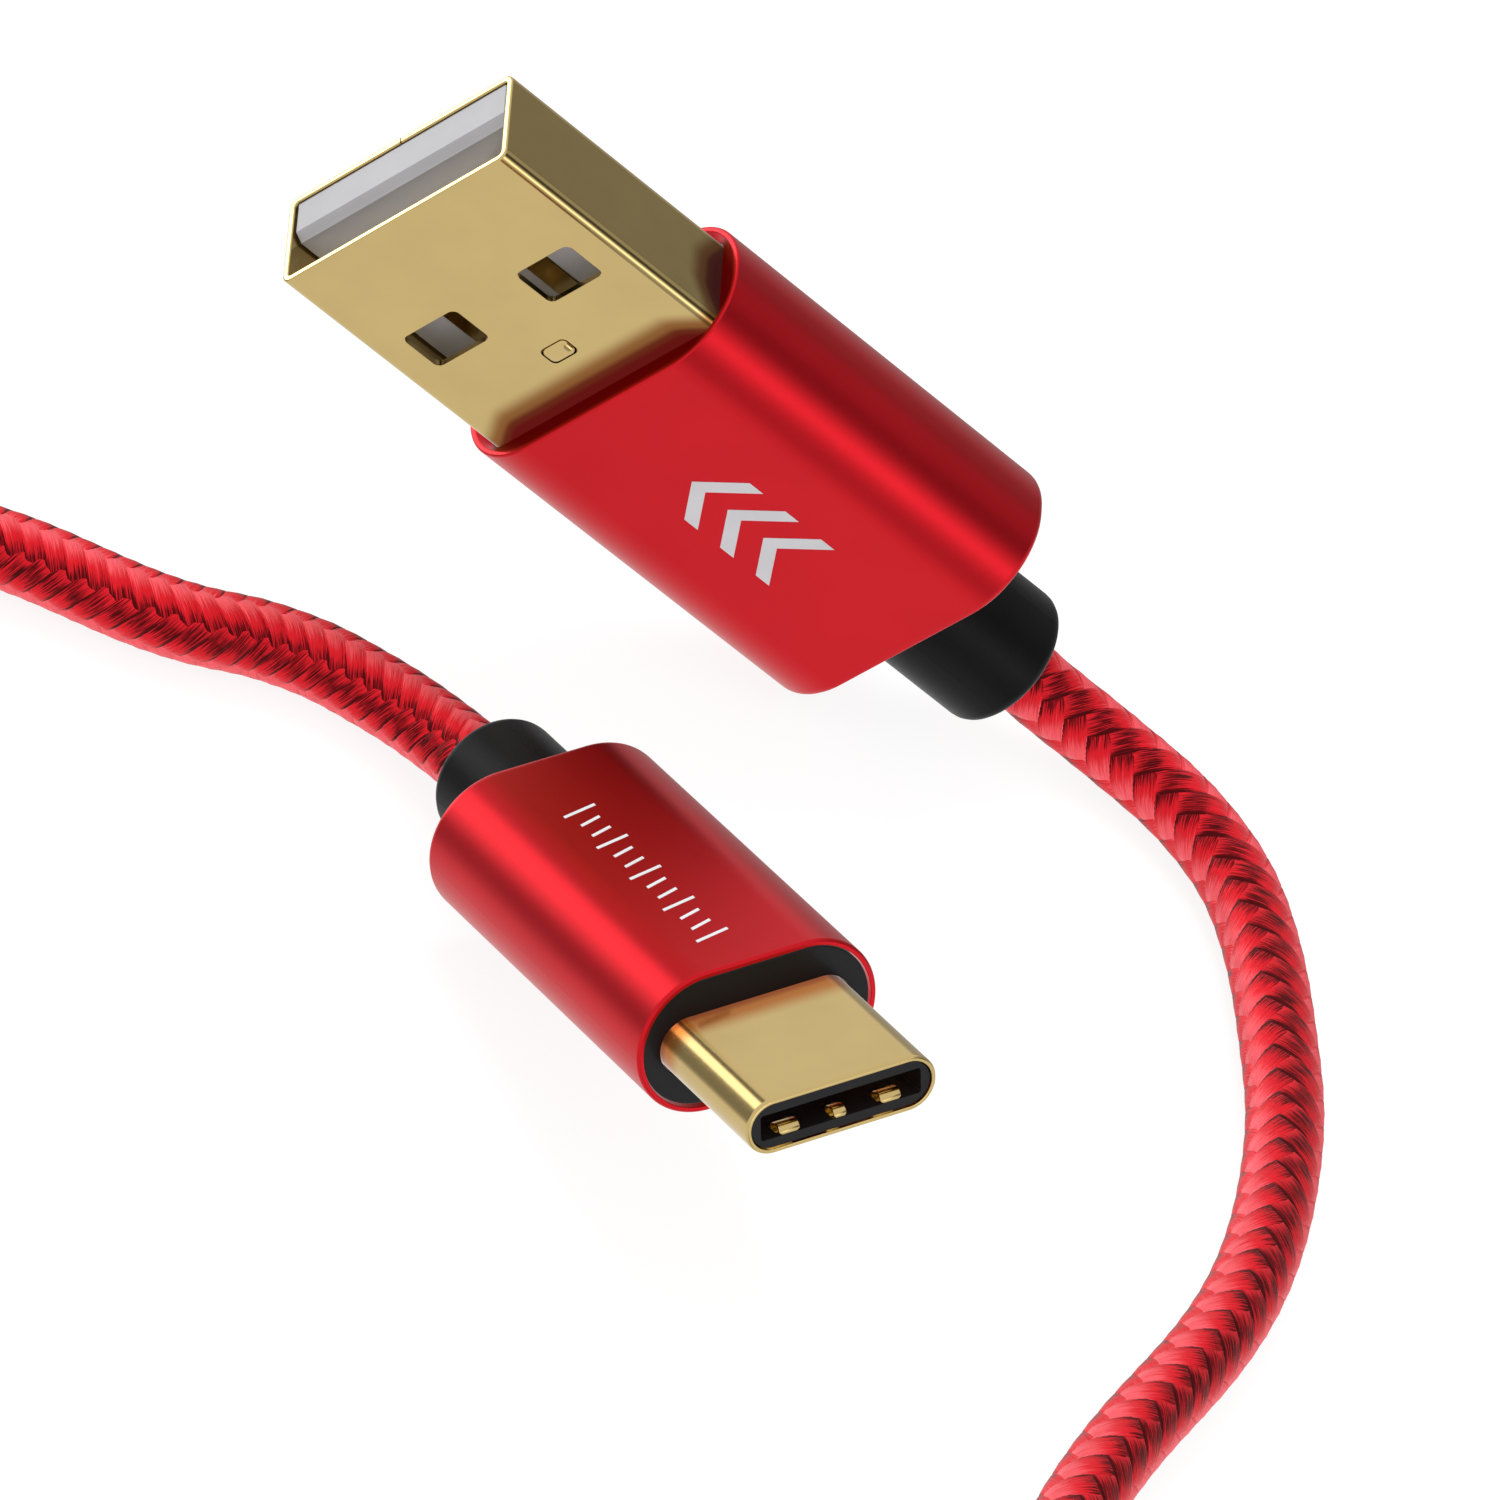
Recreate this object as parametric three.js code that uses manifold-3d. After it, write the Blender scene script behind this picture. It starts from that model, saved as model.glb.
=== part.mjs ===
// A USB-A to USB-C charging cable: two metal-cased plugs on one braided cord.
// Millimetres, +Z up. The cable lies on the plane z = 0, and the origin is the
// middle of the two plugs' footprint.
//
// Both plugs are drawn in a frame of their own: x across the plug, y out of the
// mouth with the mouth at y = 0, z out of one broad face. Each is then turned by
// a heading, a nose-up angle and a roll, and set down.

import * as THREE from 'three';
import { mergeVertices } from 'three/addons/utils/BufferGeometryUtils.js';
import Module from 'manifold-3d';

const wasm = await Module();
wasm.setup();

// ---- driving dimensions ---------------------------------------------------

const CORD_D = 3.45;            // braided cord
const FIT = 0.05;               // clearance between small pieces that sit together
const GAP = 0.3;                // clearance round the cord and behind the pieces

// how each plug lies: mouth centre, then heading, nose-up angle and roll in degrees
const PLUG_A = { at: [-15.83, 8.3, 19.984], heading: -157.5, raise: 26.5, roll: -99.5 };
const PLUG_C = { at: [16.4, -20.65, 12.65], heading: -48, raise: 20, roll: 16 };

// USB-A plug
const A_SHELL = { w: 12, t: 4.5, r: 0.45, wall: 0.3, rear: -18.5 };
const A_SEAM = 0.08;            // butt joint of the rolled shell
const A_WINDOW = { w: 2.8, len: 2.15, r: 0.3, x: 3.03, y: -6.38 };
const A_TAB = { w: 1.35, front: -9.2, rear: -10.1, drop: 0.32 };
const A_TONGUE = { t: 1.84, front: -0.1, block: -10, chamfer: 0.35 };
const A_CONTACT = { w: 1, t: 0.25, proud: 0.05, tail: -20.6 };
const A_CONTACTS = [{ x: -3.5, front: -1.8 }, { x: -1, front: -2.7 }, { x: 1, front: -2.7 }, { x: 3.5, front: -1.8 }];
const A_HOUSING = { w: 14.4, t: 7.1, r: 3.4, front: -12.1, rear: -30.7, dish: 0.3, fillet: 0.35, wall: 0.6 };
const A_MOULD = { front: -18.8, rear: -24.7 };
const A_CLAMP = { front: -25, rear: -27.5, wall: 0.25 };
const A_RELIEF = { d: 6.2, flange: [11, 5.4], front: -27.8, step: -29.8, rear: -36.6, fillet: 0.5 };
const A_CORD_START = -25.2;

// USB-C plug
const C_SHELL = { w: 8.25, t: 2.4, r: 1.19, wall: 0.2, rear: -12.5 };
const C_OPENING = { w: 6.96, t: 1.11 };
const C_INSULATOR = { front: -0.08, rear: -5 };
const C_BLOCK_REAR = -8.6;
const C_PADS = [{ x: -2.2, w: 0.9 }, { x: 0, w: 0.55 }, { x: 2.2, w: 0.9 }];
const C_CONTACT = { w: 0.22, t: 0.12, tip: -1.6, tail: -10.4 };
const C_TOP_CONTACTS = [-2.75, -1.25, -0.25, 0.25, 0.75, 1.25, 2.75];
const C_BOTTOM_CONTACTS = [-2.75, -1.25, -0.75, 1.25, 2.75];
const C_LATCH = { x: 3.2, t: 0.25, h: 0.6, tip: -1.35, pivot: -6.2, hook: 0.22 };
const C_BOARD = { w: 7.2, t: 0.6, front: -8.9, rear: -14.6 };
const C_RESISTOR = { w: 1, t: 0.45, len: 0.5, x: 2.4, y: -11.6 };
const C_CAN = { w: 8.85, t: 3.25, r: 1.45, wall: 0.2, front: -8.8, rear: -15.5 };
const C_PLATE = { w: 9.86, t: 5.46, r: 2.7, front: -6.78, rear: -8.5 };
const C_HOUSING = { w: 10.45, t: 6.2, r: 3.09, front: -6.65, rear: -24.1, fillet: 0.25, wall: 0.26, end: 0.7 };
const C_MOULD = { front: -15.8, rear: -18.6 };
const C_CLAMP = { front: -18.8, rear: -20.8, wall: 0.25 };
const C_RELIEF = { d: 5.5, flange: [9, 5.3], front: -21.1, step: -23.3, rear: -28.4, fillet: 0.4 };
const C_CORD_START = -19;

// conductors inside both plugs
const WIRE_D = 0.75;
const WIRE_BUNDLE = 0.75;       // how far each wire sits from the cord's axis
// Each wire's place round the cord's axis, in quarter turns, and across the plug's
// solder points, so that none of them cross.
const WIRES = [
  { colour: 'red', quarter: 3, a: 3.5, c: 2.25 },
  { colour: 'white', quarter: 0, a: 1, c: 0.75 },
  { colour: 'green', quarter: 1, a: -1, c: -0.75 },
  { colour: 'black', quarter: 2, a: -3.5, c: -2.25 },
];

// The put-away length: a flat coil of six rows, three across and two high, and the
// strap that ties it. Its middle is at COIL.at.
const COIL = { at: [14, -82], radius: 20.25, across: 3, high: 2 };
const TIE = { width: 8, thick: 0.8, corner: 1.6 };

// Free route of the cord from the USB-A strain relief to the coil, and from the
// coil to the USB-C strain relief. The stretches inside the reliefs are straight.
const ROUTE_A = [
  [16.5, 21.3, 2.7], [18.65, 21.4, 2.12], [20.75, 21.1, 1.82], [22.9, 20.4, 1.74], [24.9, 19.25, 1.73],
  [26.8, 17.6, 1.73], [28.45, 15.3, 1.73], [30, 12.3, 1.73], [31.3, 9.2, 1.73], [32.5, 6, 1.73],
  [33.4, 2.4, 1.73], [34, -1.6, 1.73], [34.15, -6, 1.73], [33.6, -11, 1.73], [32.6, -16, 1.73],
  [31.8, -22, 1.73], [31.7, -29, 1.73], [32.4, -37, 1.73], [33.8, -45, 1.73], [35.6, -54, 1.73],
  [37, -62, 1.73], [37.7, -68, 1.73],
];
const ROUTE_C = [
  [-9.7, -68, 4.4], [-10.1, -61, 2.6], [-11.6, -53, 1.8], [-15, -45, 1.73], [-20, -37.5, 1.73],
  [-25.6, -30.5, 1.73], [-30.2, -23, 1.73], [-32.3, -15.2, 1.73], [-31.3, -8.2, 1.73], [-27.3, -3.2, 1.73],
  [-22, -0.9, 1.73], [-17.2, -0.25, 1.73], [-14.2, 0.65, 1.73], [-12.6, 1.4, 1.73], [-11.1, 1.85, 1.73],
  [-9.5, 2.1, 1.74], [-7.9, 2.05, 1.76], [-6.2, 1.8, 1.86], [-4.6, 1.25, 2.06], [-3.05, 0.42, 2.4],
];

// ---- colours --------------------------------------------------------------

const material = (color, roughness, metalness) => new THREE.MeshStandardMaterial({ color, roughness, metalness });
const GOLD = material(0xc9a75c, 0.22, 1);
const RED_METAL = material(0xc4141c, 0.38, 0.85);
const BLACK_RUBBER = material(0x0d0d0e, 0.55, 0);
const BLACK_PLASTIC = material(0x101114, 0.35, 0);
const GREY_PLASTIC = material(0x8d8e92, 0.5, 0);
const NATURAL_PLASTIC = material(0xd9d6cb, 0.6, 0);
const STEEL = material(0xb4b6b8, 0.35, 1);
const BOARD_GREEN = material(0x1d6b3a, 0.5, 0);
const CERAMIC = material(0x26262a, 0.45, 0);
const BRAID = material(0xc8202c, 0.7, 0);
const STRAP = material(0x141416, 0.9, 0);
const WIRE_COLOURS = {
  red: material(0xb01820, 0.5, 0),
  white: material(0xe4e2dc, 0.5, 0),
  green: material(0x1f8a44, 0.5, 0),
  black: material(0x161616, 0.5, 0),
};

// ---- solids ---------------------------------------------------------------

// Closed geometry to a manifold solid and back.
function toSolid(geometry) {
  const bare = geometry.clone();
  bare.deleteAttribute('normal');
  bare.deleteAttribute('uv');
  const merged = mergeVertices(bare, 1e-5);
  return new wasm.Manifold(new wasm.Mesh({
    numProp: 3,
    vertProperties: new Float32Array(merged.attributes.position.array),
    triVerts: new Uint32Array(merged.index.array),
  }));
}

function toGeometry(solid) {
  const mesh = solid.getMesh();
  const geometry = new THREE.BufferGeometry();
  geometry.setAttribute('position', new THREE.BufferAttribute(new Float32Array(mesh.vertProperties), 3));
  geometry.setIndex(new THREE.BufferAttribute(new Uint32Array(mesh.triVerts), 1));
  geometry.computeVertexNormals();
  return geometry;
}

function cut(geometry, ...tools) {
  return toGeometry(tools.reduce((solid, tool) => solid.subtract(toSolid(tool)), toSolid(geometry)));
}

function join(geometry, ...others) {
  return toGeometry(others.reduce((solid, other) => solid.add(toSolid(other)), toSolid(geometry)));
}

function node(name, geometry, look) {
  const mesh = new THREE.Mesh(geometry, look);
  mesh.name = name;
  return mesh;
}

// Rounded rectangle in the plug's x-z plane, w across and t thick.
function roundedRect(w, t, r, PathClass = THREE.Shape) {
  const path = new PathClass();
  const [a, b] = [w / 2 - r, t / 2 - r];
  path.absarc(a, b, r, 0, Math.PI / 2);
  path.absarc(-a, b, r, Math.PI / 2, Math.PI);
  path.absarc(-a, -b, r, Math.PI, 1.5 * Math.PI);
  path.absarc(a, -b, r, 1.5 * Math.PI, 2 * Math.PI);
  path.closePath();
  return path;
}

// A shape in x-z drawn out along the plug, from y = front back to y = rear.
function prism(shape, front, rear, curveSegments = 5) {
  const geometry = new THREE.ExtrudeGeometry(shape, { depth: front - rear, bevelEnabled: false, curveSegments });
  return geometry.rotateX(Math.PI / 2).translate(0, front, 0);
}

// A profile in y-z drawn out across the plug, w wide about x.
function blade(points, x, w) {
  const shape = new THREE.Shape(points.map(([y, z]) => new THREE.Vector2(y, z)));
  const geometry = new THREE.ExtrudeGeometry(shape, { depth: w, bevelEnabled: false });
  // shape x -> plug y, shape y -> plug z, depth -> plug x
  const turn = new THREE.Matrix4().makeBasis(
    new THREE.Vector3(0, 1, 0), new THREE.Vector3(0, 0, 1), new THREE.Vector3(1, 0, 0));
  return geometry.applyMatrix4(turn).translate(x - w / 2, 0, 0);
}

function box(x0, x1, y0, y1, z0, z1) {
  const geometry = new THREE.BoxGeometry(Math.abs(x1 - x0), Math.abs(y1 - y0), Math.abs(z1 - z0));
  return geometry.translate((x0 + x1) / 2, (y0 + y1) / 2, (z0 + z1) / 2);
}

// A round bar along the plug.
function bar(d, front, rear, sides = 24) {
  return new THREE.CylinderGeometry(d / 2, d / 2, front - rear, sides).translate(0, (front + rear) / 2, 0);
}

// A body lofted through rounded rectangles {y, w, t, r}, listed from front to rear.
function loft(sections, steps = 6) {
  const rings = sections.map(({ y, w, t, r }) => {
    const ring = [];
    for (let corner = 0; corner < 4; corner += 1) {
      const [sx, sz] = [[1, 1], [-1, 1], [-1, -1], [1, -1]][corner];
      for (let k = 0; k <= steps; k += 1) {
        const angle = (corner + k / steps) * (Math.PI / 2);
        ring.push([sx * (w / 2 - r) + r * Math.cos(angle), y, sz * (t / 2 - r) + r * Math.sin(angle)]);
      }
    }
    return ring;
  });
  const count = rings[0].length;
  const positions = rings.flat(2);
  const index = [];
  for (let s = 0; s + 1 < rings.length; s += 1) {
    for (let k = 0; k < count; k += 1) {
      const [a, b] = [s * count + k, s * count + ((k + 1) % count)];
      index.push(a, b, b + count, a, b + count, a + count);
    }
  }
  const last = (rings.length - 1) * count;
  for (let k = 1; k + 1 < count; k += 1) {
    index.push(0, k + 1, k);
    index.push(last, last + k, last + k + 1);
  }
  const geometry = new THREE.BufferGeometry();
  geometry.setAttribute('position', new THREE.Float32BufferAttribute(positions, 3));
  geometry.setIndex(index);
  geometry.computeVertexNormals();
  return geometry;
}

// Sections that round an edge off between y0, at full size, and y1, at the end face.
function filletSections({ w, t, r }, y0, y1, size, steps = 3) {
  return Array.from({ length: steps + 1 }, (_, k) => {
    const angle = (k / steps) * (Math.PI / 2);
    const inset = size * (1 - Math.cos(angle));
    return { y: y0 + (y1 - y0) * Math.sin(angle), w: w - 2 * inset, t: t - 2 * inset, r: r - inset };
  });
}

// A round tube of given sides along a smooth curve through the points.
function sweep(points, d, sides, steps) {
  const curve = new THREE.CatmullRomCurve3(points, false, 'centripetal');
  const shape = new THREE.Shape();
  shape.absarc(0, 0, d / 2, 0, 2 * Math.PI);
  return new THREE.ExtrudeGeometry(shape, { steps, extrudePath: curve, curveSegments: sides, bevelEnabled: false });
}

// A plug-frame point carried to the part's frame.
function placeOf(plug) {
  const turn = new THREE.Euler(
    THREE.MathUtils.degToRad(plug.raise), THREE.MathUtils.degToRad(plug.roll),
    THREE.MathUtils.degToRad(plug.heading - 90), 'ZXY');
  return new THREE.Matrix4().makeRotationFromEuler(turn).setPosition(...plug.at);
}

// ---- USB-A plug -----------------------------------------------------------

// Rolled gold-plated shell: seam in one broad face, two latch windows in each, and
// a pressed-in tab near the root.
function aShell() {
  const { w, t, r, wall, rear } = A_SHELL;
  const outline = roundedRect(w, t, r);
  outline.holes.push(roundedRect(w - 2 * wall, t - 2 * wall, r - wall + FIT, THREE.Path));
  const windows = [];
  for (const side of [-1, 1]) {
    const hole = roundedRect(A_WINDOW.w, A_WINDOW.len, A_WINDOW.r);
    const tool = new THREE.ExtrudeGeometry(hole, { depth: 2 * t, bevelEnabled: false, curveSegments: 4 });
    windows.push(tool.translate(side * A_WINDOW.x, A_WINDOW.y, -t));
  }
  const seam = box(-A_SEAM / 2, A_SEAM / 2, 1, rear - 1, -t, -t / 2 + wall + 0.1);
  const { w: tabW, front, rear: tabRear, drop } = A_TAB;
  const face = t / 2;
  const tabHole = box(-tabW / 2, tabW / 2, front, tabRear, face - wall - 0.1, face + 1);
  const tab = blade([[tabRear - 0.05, face - 0.02], [tabRear - 0.05, face - wall], [tabRear, face - wall],
    [front - FIT, face - wall - drop], [front - FIT, face - drop]], 0, tabW - 2 * FIT);
  return node('a_shell', join(cut(prism(outline, 0, rear), ...windows, seam, tabHole), tab), GOLD);
}

// Where the tongue lies: against the shell wall that holds the seam.
const A_WALL = -A_SHELL.t / 2 + A_SHELL.wall + FIT;
const A_FACE = A_WALL + A_TONGUE.t;
const A_HALF = A_SHELL.w / 2 - A_SHELL.wall - 2 * FIT;

// Grey tongue with four grooves, and the block that closes the shell behind it.
function aTongue() {
  const { front, block, chamfer } = A_TONGUE;
  const rear = A_SHELL.rear + GAP;
  const side = blade([[front, A_WALL], [front, A_FACE - chamfer], [front - chamfer, A_FACE], [block, A_FACE],
    [block, -A_WALL], [rear, -A_WALL], [rear, A_WALL]], 0, 2 * A_HALF);
  const grooves = A_CONTACTS.map(({ x, front: start }) => box(
    x - A_CONTACT.w / 2 - FIT, x + A_CONTACT.w / 2 + FIT, start + FIT, rear - 1,
    A_FACE - A_CONTACT.t, A_FACE + A_CONTACT.proud + FIT));
  return node('a_tongue', cut(side, ...grooves), GREY_PLASTIC);
}

function aContact({ x, front }, k) {
  const top = A_FACE + A_CONTACT.proud;
  const strip = blade([[front, top - 0.12], [front - 0.2, top], [A_CONTACT.tail, top],
    [A_CONTACT.tail, top - A_CONTACT.t + FIT], [front, top - A_CONTACT.t + FIT]], x, A_CONTACT.w);
  return node(`a_contact_${k + 1}`, strip, GOLD);
}

// Red anodised housing: the mouth is dished round the shell, and the cavity for the
// moulding ends at a rear wall with a round hole.
function aHousing() {
  const { w, t, r, front, rear, dish, fillet, wall } = A_HOUSING;
  const body = loft([
    { y: front, w: w - 0.12, t: t - 0.12, r: r - 0.06 },
    { y: front - 0.08, w, t, r },
    ...filletSections(A_HOUSING, rear + fillet, rear, fillet),
  ]);
  const bore = prism(roundedRect(A_SHELL.w + 0.24, A_SHELL.t + 0.24, 0.55), front + 1, A_SHELL.rear - 1);
  const dishTool = loft([
    { y: front + 0.1, w: w - 0.5, t: t - 0.5, r: r - 0.25 },
    { y: front, w: w - 0.5, t: t - 0.5, r: r - 0.25 },
    { y: front - dish, w: A_SHELL.w + 0.24, t: A_SHELL.t + 0.24, r: 0.6 },
  ]);
  const cavity = prism(roundedRect(w - 2 * wall, t - 2 * wall, r - wall), A_SHELL.rear - 0.2, rear + 0.7);
  const hole = bar(A_RELIEF.d + 0.1, rear + 2, rear - 1, 32);
  return node('a_housing', cut(body, bore, dishTool, cavity, hole), RED_METAL);
}

// Moulded block behind the shell, hollow where the wires and tails run.
function aMould() {
  const { front, rear } = A_MOULD;
  const { w, t, r, wall } = A_HOUSING;
  const outer = roundedRect(w - 2 * wall - 2 * FIT, t - 2 * wall - 2 * FIT, r - wall - FIT);
  outer.holes.push(roundedRect(9.4, 3.6, 1, THREE.Path));
  return node('a_inner_mould', prism(outer, front, rear), NATURAL_PLASTIC);
}

// Crimped sleeve that grips the cord inside a plug.
function clamp(name, { front, rear, wall }) {
  const inner = CORD_D / 2 + 0.12;
  const ring = new THREE.Shape();
  ring.absarc(0, 0, inner + wall, 0, 2 * Math.PI);
  const hole = new THREE.Path();
  hole.absarc(0, 0, inner, 0, 2 * Math.PI, true);
  ring.holes.push(hole);
  const slit = box(-0.2, 0.2, front + 1, rear - 1, 0, inner + wall + 1);
  return node(name, cut(prism(ring, front, rear, 12), slit), STEEL);
}

// Black strain relief: a flange inside the housing and a round boot outside it.
function strainRelief(name, { d, flange, front, step, rear, fillet }) {
  const boot = loft([
    { y: step + 0.2, w: d, t: d, r: d / 2 - 0.01 },
    ...filletSections({ w: d, t: d, r: d / 2 - 0.01 }, rear + fillet, rear, fillet),
  ]);
  const plate = prism(roundedRect(flange[0], flange[1], flange[1] / 2 - 0.1), front, step);
  const bore = bar(CORD_D + 2 * GAP, front + 1, rear - 1, 24);
  return node(name, cut(join(plate, boot), bore), BLACK_RUBBER);
}

// One insulated conductor, from the end of the cord's jacket forward to its solder place.
function wire(name, { colour, quarter }, from, to) {
  const angle = (quarter + 0.5) * (Math.PI / 2);
  const start = new THREE.Vector3(WIRE_BUNDLE * Math.cos(angle), from, WIRE_BUNDLE * Math.sin(angle));
  const end = new THREE.Vector3(...to);
  const lead = (to[1] - from) * 0.36;
  const points = [start, start.clone().setY(from + lead), end.clone().setY(to[1] - lead), end];
  return node(name, sweep(points, WIRE_D, 6, 6), WIRE_COLOURS[colour]);
}

function plugA() {
  const plug = new THREE.Group();
  plug.add(aShell(), aTongue(), ...A_CONTACTS.map(aContact), aHousing(), aMould());
  plug.add(clamp('a_cable_clamp', A_CLAMP), strainRelief('a_strain_relief', A_RELIEF));
  const wireZ = A_FACE + A_CONTACT.proud + WIRE_D / 2 + FIT;
  for (const lead of WIRES) {
    const end = [lead.a, A_SHELL.rear - GAP, wireZ];
    plug.add(wire(`a_wire_${lead.colour}`, lead, A_MOULD.rear - 0.2, end));
  }
  return plug;
}

// ---- USB-C plug -----------------------------------------------------------

function cShell() {
  const { w, t, r, wall, rear } = C_SHELL;
  const outline = roundedRect(w, t, r);
  outline.holes.push(roundedRect(w - 2 * wall, t - 2 * wall, r - wall, THREE.Path));
  return node('c_shell', prism(outline, 0, rear, 8), GOLD);
}

// What fits inside the shell with a small clearance.
const C_INNER = { w: C_SHELL.w - 2 * C_SHELL.wall - 2 * FIT, t: C_SHELL.t - 2 * C_SHELL.wall - 2 * FIT };
C_INNER.r = C_INNER.t / 2 - 0.01;
const C_PLATE_T = 0.12;         // sheet that the ground springs are cut from

// Room for a side latch to swing outwards.
function latchRoom(side, front, rear) {
  const { x, t, h, hook } = C_LATCH;
  return box(side * (x - t / 2 - hook - FIT), side * (x + t / 2 + 0.37), front, rear, -h / 2 - FIT, h / 2 + FIT);
}

// Black mouth moulding: the opening for the tongue of a socket, side rooms for the
// latches, and a shallow seat with three slots for each ground spring.
function cInsulator() {
  const { front, rear } = C_INSULATOR;
  const body = prism(roundedRect(C_INNER.w, C_INNER.t, C_INNER.r), front, rear, 8);
  const opening = prism(roundedRect(C_OPENING.w, C_OPENING.t, 0.12), front + 1, rear - 1, 3);
  const rooms = [-1, 1].map((side) => latchRoom(side, C_LATCH.tip + 0.2, rear - 1));
  const seats = [];
  for (const side of [-1, 1]) {
    const outer = C_INNER.t / 2;
    seats.push(box(-2.9, 2.9, -0.85, -3.5, side * (outer - C_PLATE_T - 2 * FIT), side * (outer + 1)));
    for (const pad of C_PADS) {
      const half = pad.w / 2 + FIT;
      seats.push(box(pad.x - half, pad.x + half, -0.2, -1.2, side * 0.4, side * (outer + 1)));
    }
  }
  return node('c_insulator', cut(body, opening, ...rooms, ...seats), BLACK_PLASTIC);
}

// Ground spring: a thin sheet between shell and moulding, with three fingers whose
// pads rise through the slots into the mouth.
function cGroundSpring(name, side) {
  const outer = C_INNER.t / 2 - FIT;
  const flip = (points) => points.map(([y, z]) => [y, side * z]);
  const sheet = box(-2.8, 2.8, -0.9, -3.4, side * (outer - C_PLATE_T), side * outer);
  const finger = [[-1.05, outer], [-0.95, outer - 0.06], [-0.72, 0.5], [-0.62, 0.47], [-0.3, 0.6],
    [-0.3, 0.53], [-0.62, 0.39], [-0.78, 0.42], [-1.05, outer - C_PLATE_T]];
  const fingers = C_PADS.map(({ x, w }) => {
    const points = flip(finger);
    return blade(side > 0 ? points : points.reverse(), x, w);
  });
  return node(name, join(sheet, ...fingers), GOLD);
}

// Contact beams: a sprung nose in the mouth, a straight run through the block and a
// tail on the board. Top and bottom rows are mirror images.
function cContact(name, x, side) {
  const { w, t, tip, tail } = C_CONTACT;
  const low = C_BOARD.t / 2 + FIT;
  const top = [[tip, 0.5], [tip - 0.4, 0.36], [tip - 1.2, 0.44], [C_INSULATOR.rear + 0.4, 0.47],
    [C_BLOCK_REAR - 0.1, 0.47], [C_BLOCK_REAR - 0.3, low + t], [tail, low + t]];
  const under = top.map(([y, z]) => [y, z - t + (y === tip ? 0.04 : 0)]).reverse();
  const outline = [...top, ...under].map(([y, z]) => [y, side * z]);
  return node(name, blade(side > 0 ? outline.reverse() : outline, x, w), GOLD);
}

// Block that carries the contacts, with a passage for each, and rooms for the latch roots.
function cContactBlock() {
  const front = C_INSULATOR.rear - FIT;
  const body = prism(roundedRect(C_INNER.w, C_INNER.t, C_INNER.r), front, C_BLOCK_REAR, 8);
  const passage = (x, side) => box(x - 0.16, x + 0.16, front + 1, C_BLOCK_REAR - 1, side * 0.3, side * 0.55);
  const passages = [...C_TOP_CONTACTS.map((x) => passage(x, 1)), ...C_BOTTOM_CONTACTS.map((x) => passage(x, -1))];
  const rooms = [-1, 1].map((side) => latchRoom(side, front + 1, C_LATCH.pivot - 0.4));
  return node('c_contact_block', cut(body, ...passages, ...rooms), BLACK_PLASTIC);
}

// Side latch: a steel arm whose hook stands into the mouth and swings outwards about
// its root when the plug is pushed in. Its mesh is drawn about the root.
function cLatch(name, side) {
  const { x, t, h, tip, pivot, hook } = C_LATCH;
  const reach = tip - pivot;
  const outline = [[-t / 2, -0.15], [t / 2, -0.15], [t / 2, reach - 0.1], [t / 2 - 0.08, reach],
    [-t / 2 - hook, reach - 0.25], [-t / 2 - hook, reach - 0.45], [-t / 2, reach - 0.95]];
  const points = outline.map(([px, py]) => new THREE.Vector2(side * px, py));
  const shape = new THREE.Shape(side > 0 ? points : points.reverse());
  const arm = new THREE.ExtrudeGeometry(shape, { depth: h, bevelEnabled: false }).translate(0, 0, -h / 2);
  const latch = node(name, arm, STEEL);
  latch.position.set(side * x, pivot, 0);
  return latch;
}

function cBoard() {
  const { w, t, front, rear } = C_BOARD;
  return node('c_board', box(-w / 2, w / 2, front, rear, -t / 2, t / 2), BOARD_GREEN);
}

function cResistor() {
  const { w, t, len, x, y } = C_RESISTOR;
  const seat = -C_BOARD.t / 2 - FIT;
  return node('c_resistor', box(x - w / 2, x + w / 2, y, y - len, seat - t, seat), CERAMIC);
}

// Steel can over the board, open at both ends.
function cShieldCan() {
  const { w, t, r, wall, front, rear } = C_CAN;
  const outline = roundedRect(w, t, r);
  outline.holes.push(roundedRect(w - 2 * wall, t - 2 * wall, r - wall, THREE.Path));
  return node('c_shield_can', prism(outline, front, rear), STEEL);
}

// Black face plate that fills the mouth of the housing round the shell.
function cFrontPlate() {
  const { w, t, r, front, rear } = C_PLATE;
  const outline = roundedRect(w, t, r);
  outline.holes.push(roundedRect(C_SHELL.w + 2 * FIT, C_SHELL.t + 2 * FIT, C_SHELL.r + FIT, THREE.Path));
  return node('c_front_plate', prism(outline, front, rear, 8), BLACK_PLASTIC);
}

function cHousing() {
  const { w, t, r, front, rear, fillet, wall, end } = C_HOUSING;
  const body = loft([
    { y: front, w: w - 0.12, t: t - 0.12, r: r - 0.06 },
    { y: front - 0.07, w, t, r },
    ...filletSections(C_HOUSING, rear + fillet, rear, fillet),
  ], 8);
  const cavity = prism(roundedRect(w - 2 * wall, t - 2 * wall, r - wall), front + 1, rear + end, 8);
  const hole = bar(C_RELIEF.d + 0.1, rear + 2, rear - 1, 32);
  return node('c_housing', cut(body, cavity, hole), RED_METAL);
}

function cMould() {
  const { front, rear } = C_MOULD;
  const { w, t, r, wall } = C_HOUSING;
  const outer = roundedRect(w - 2 * wall - 0.1, t - 2 * wall - 0.1, r - wall - FIT);
  outer.holes.push(roundedRect(6.4, 3, 1, THREE.Path));
  return node('c_inner_mould', prism(outer, front, rear), NATURAL_PLASTIC);
}

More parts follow.
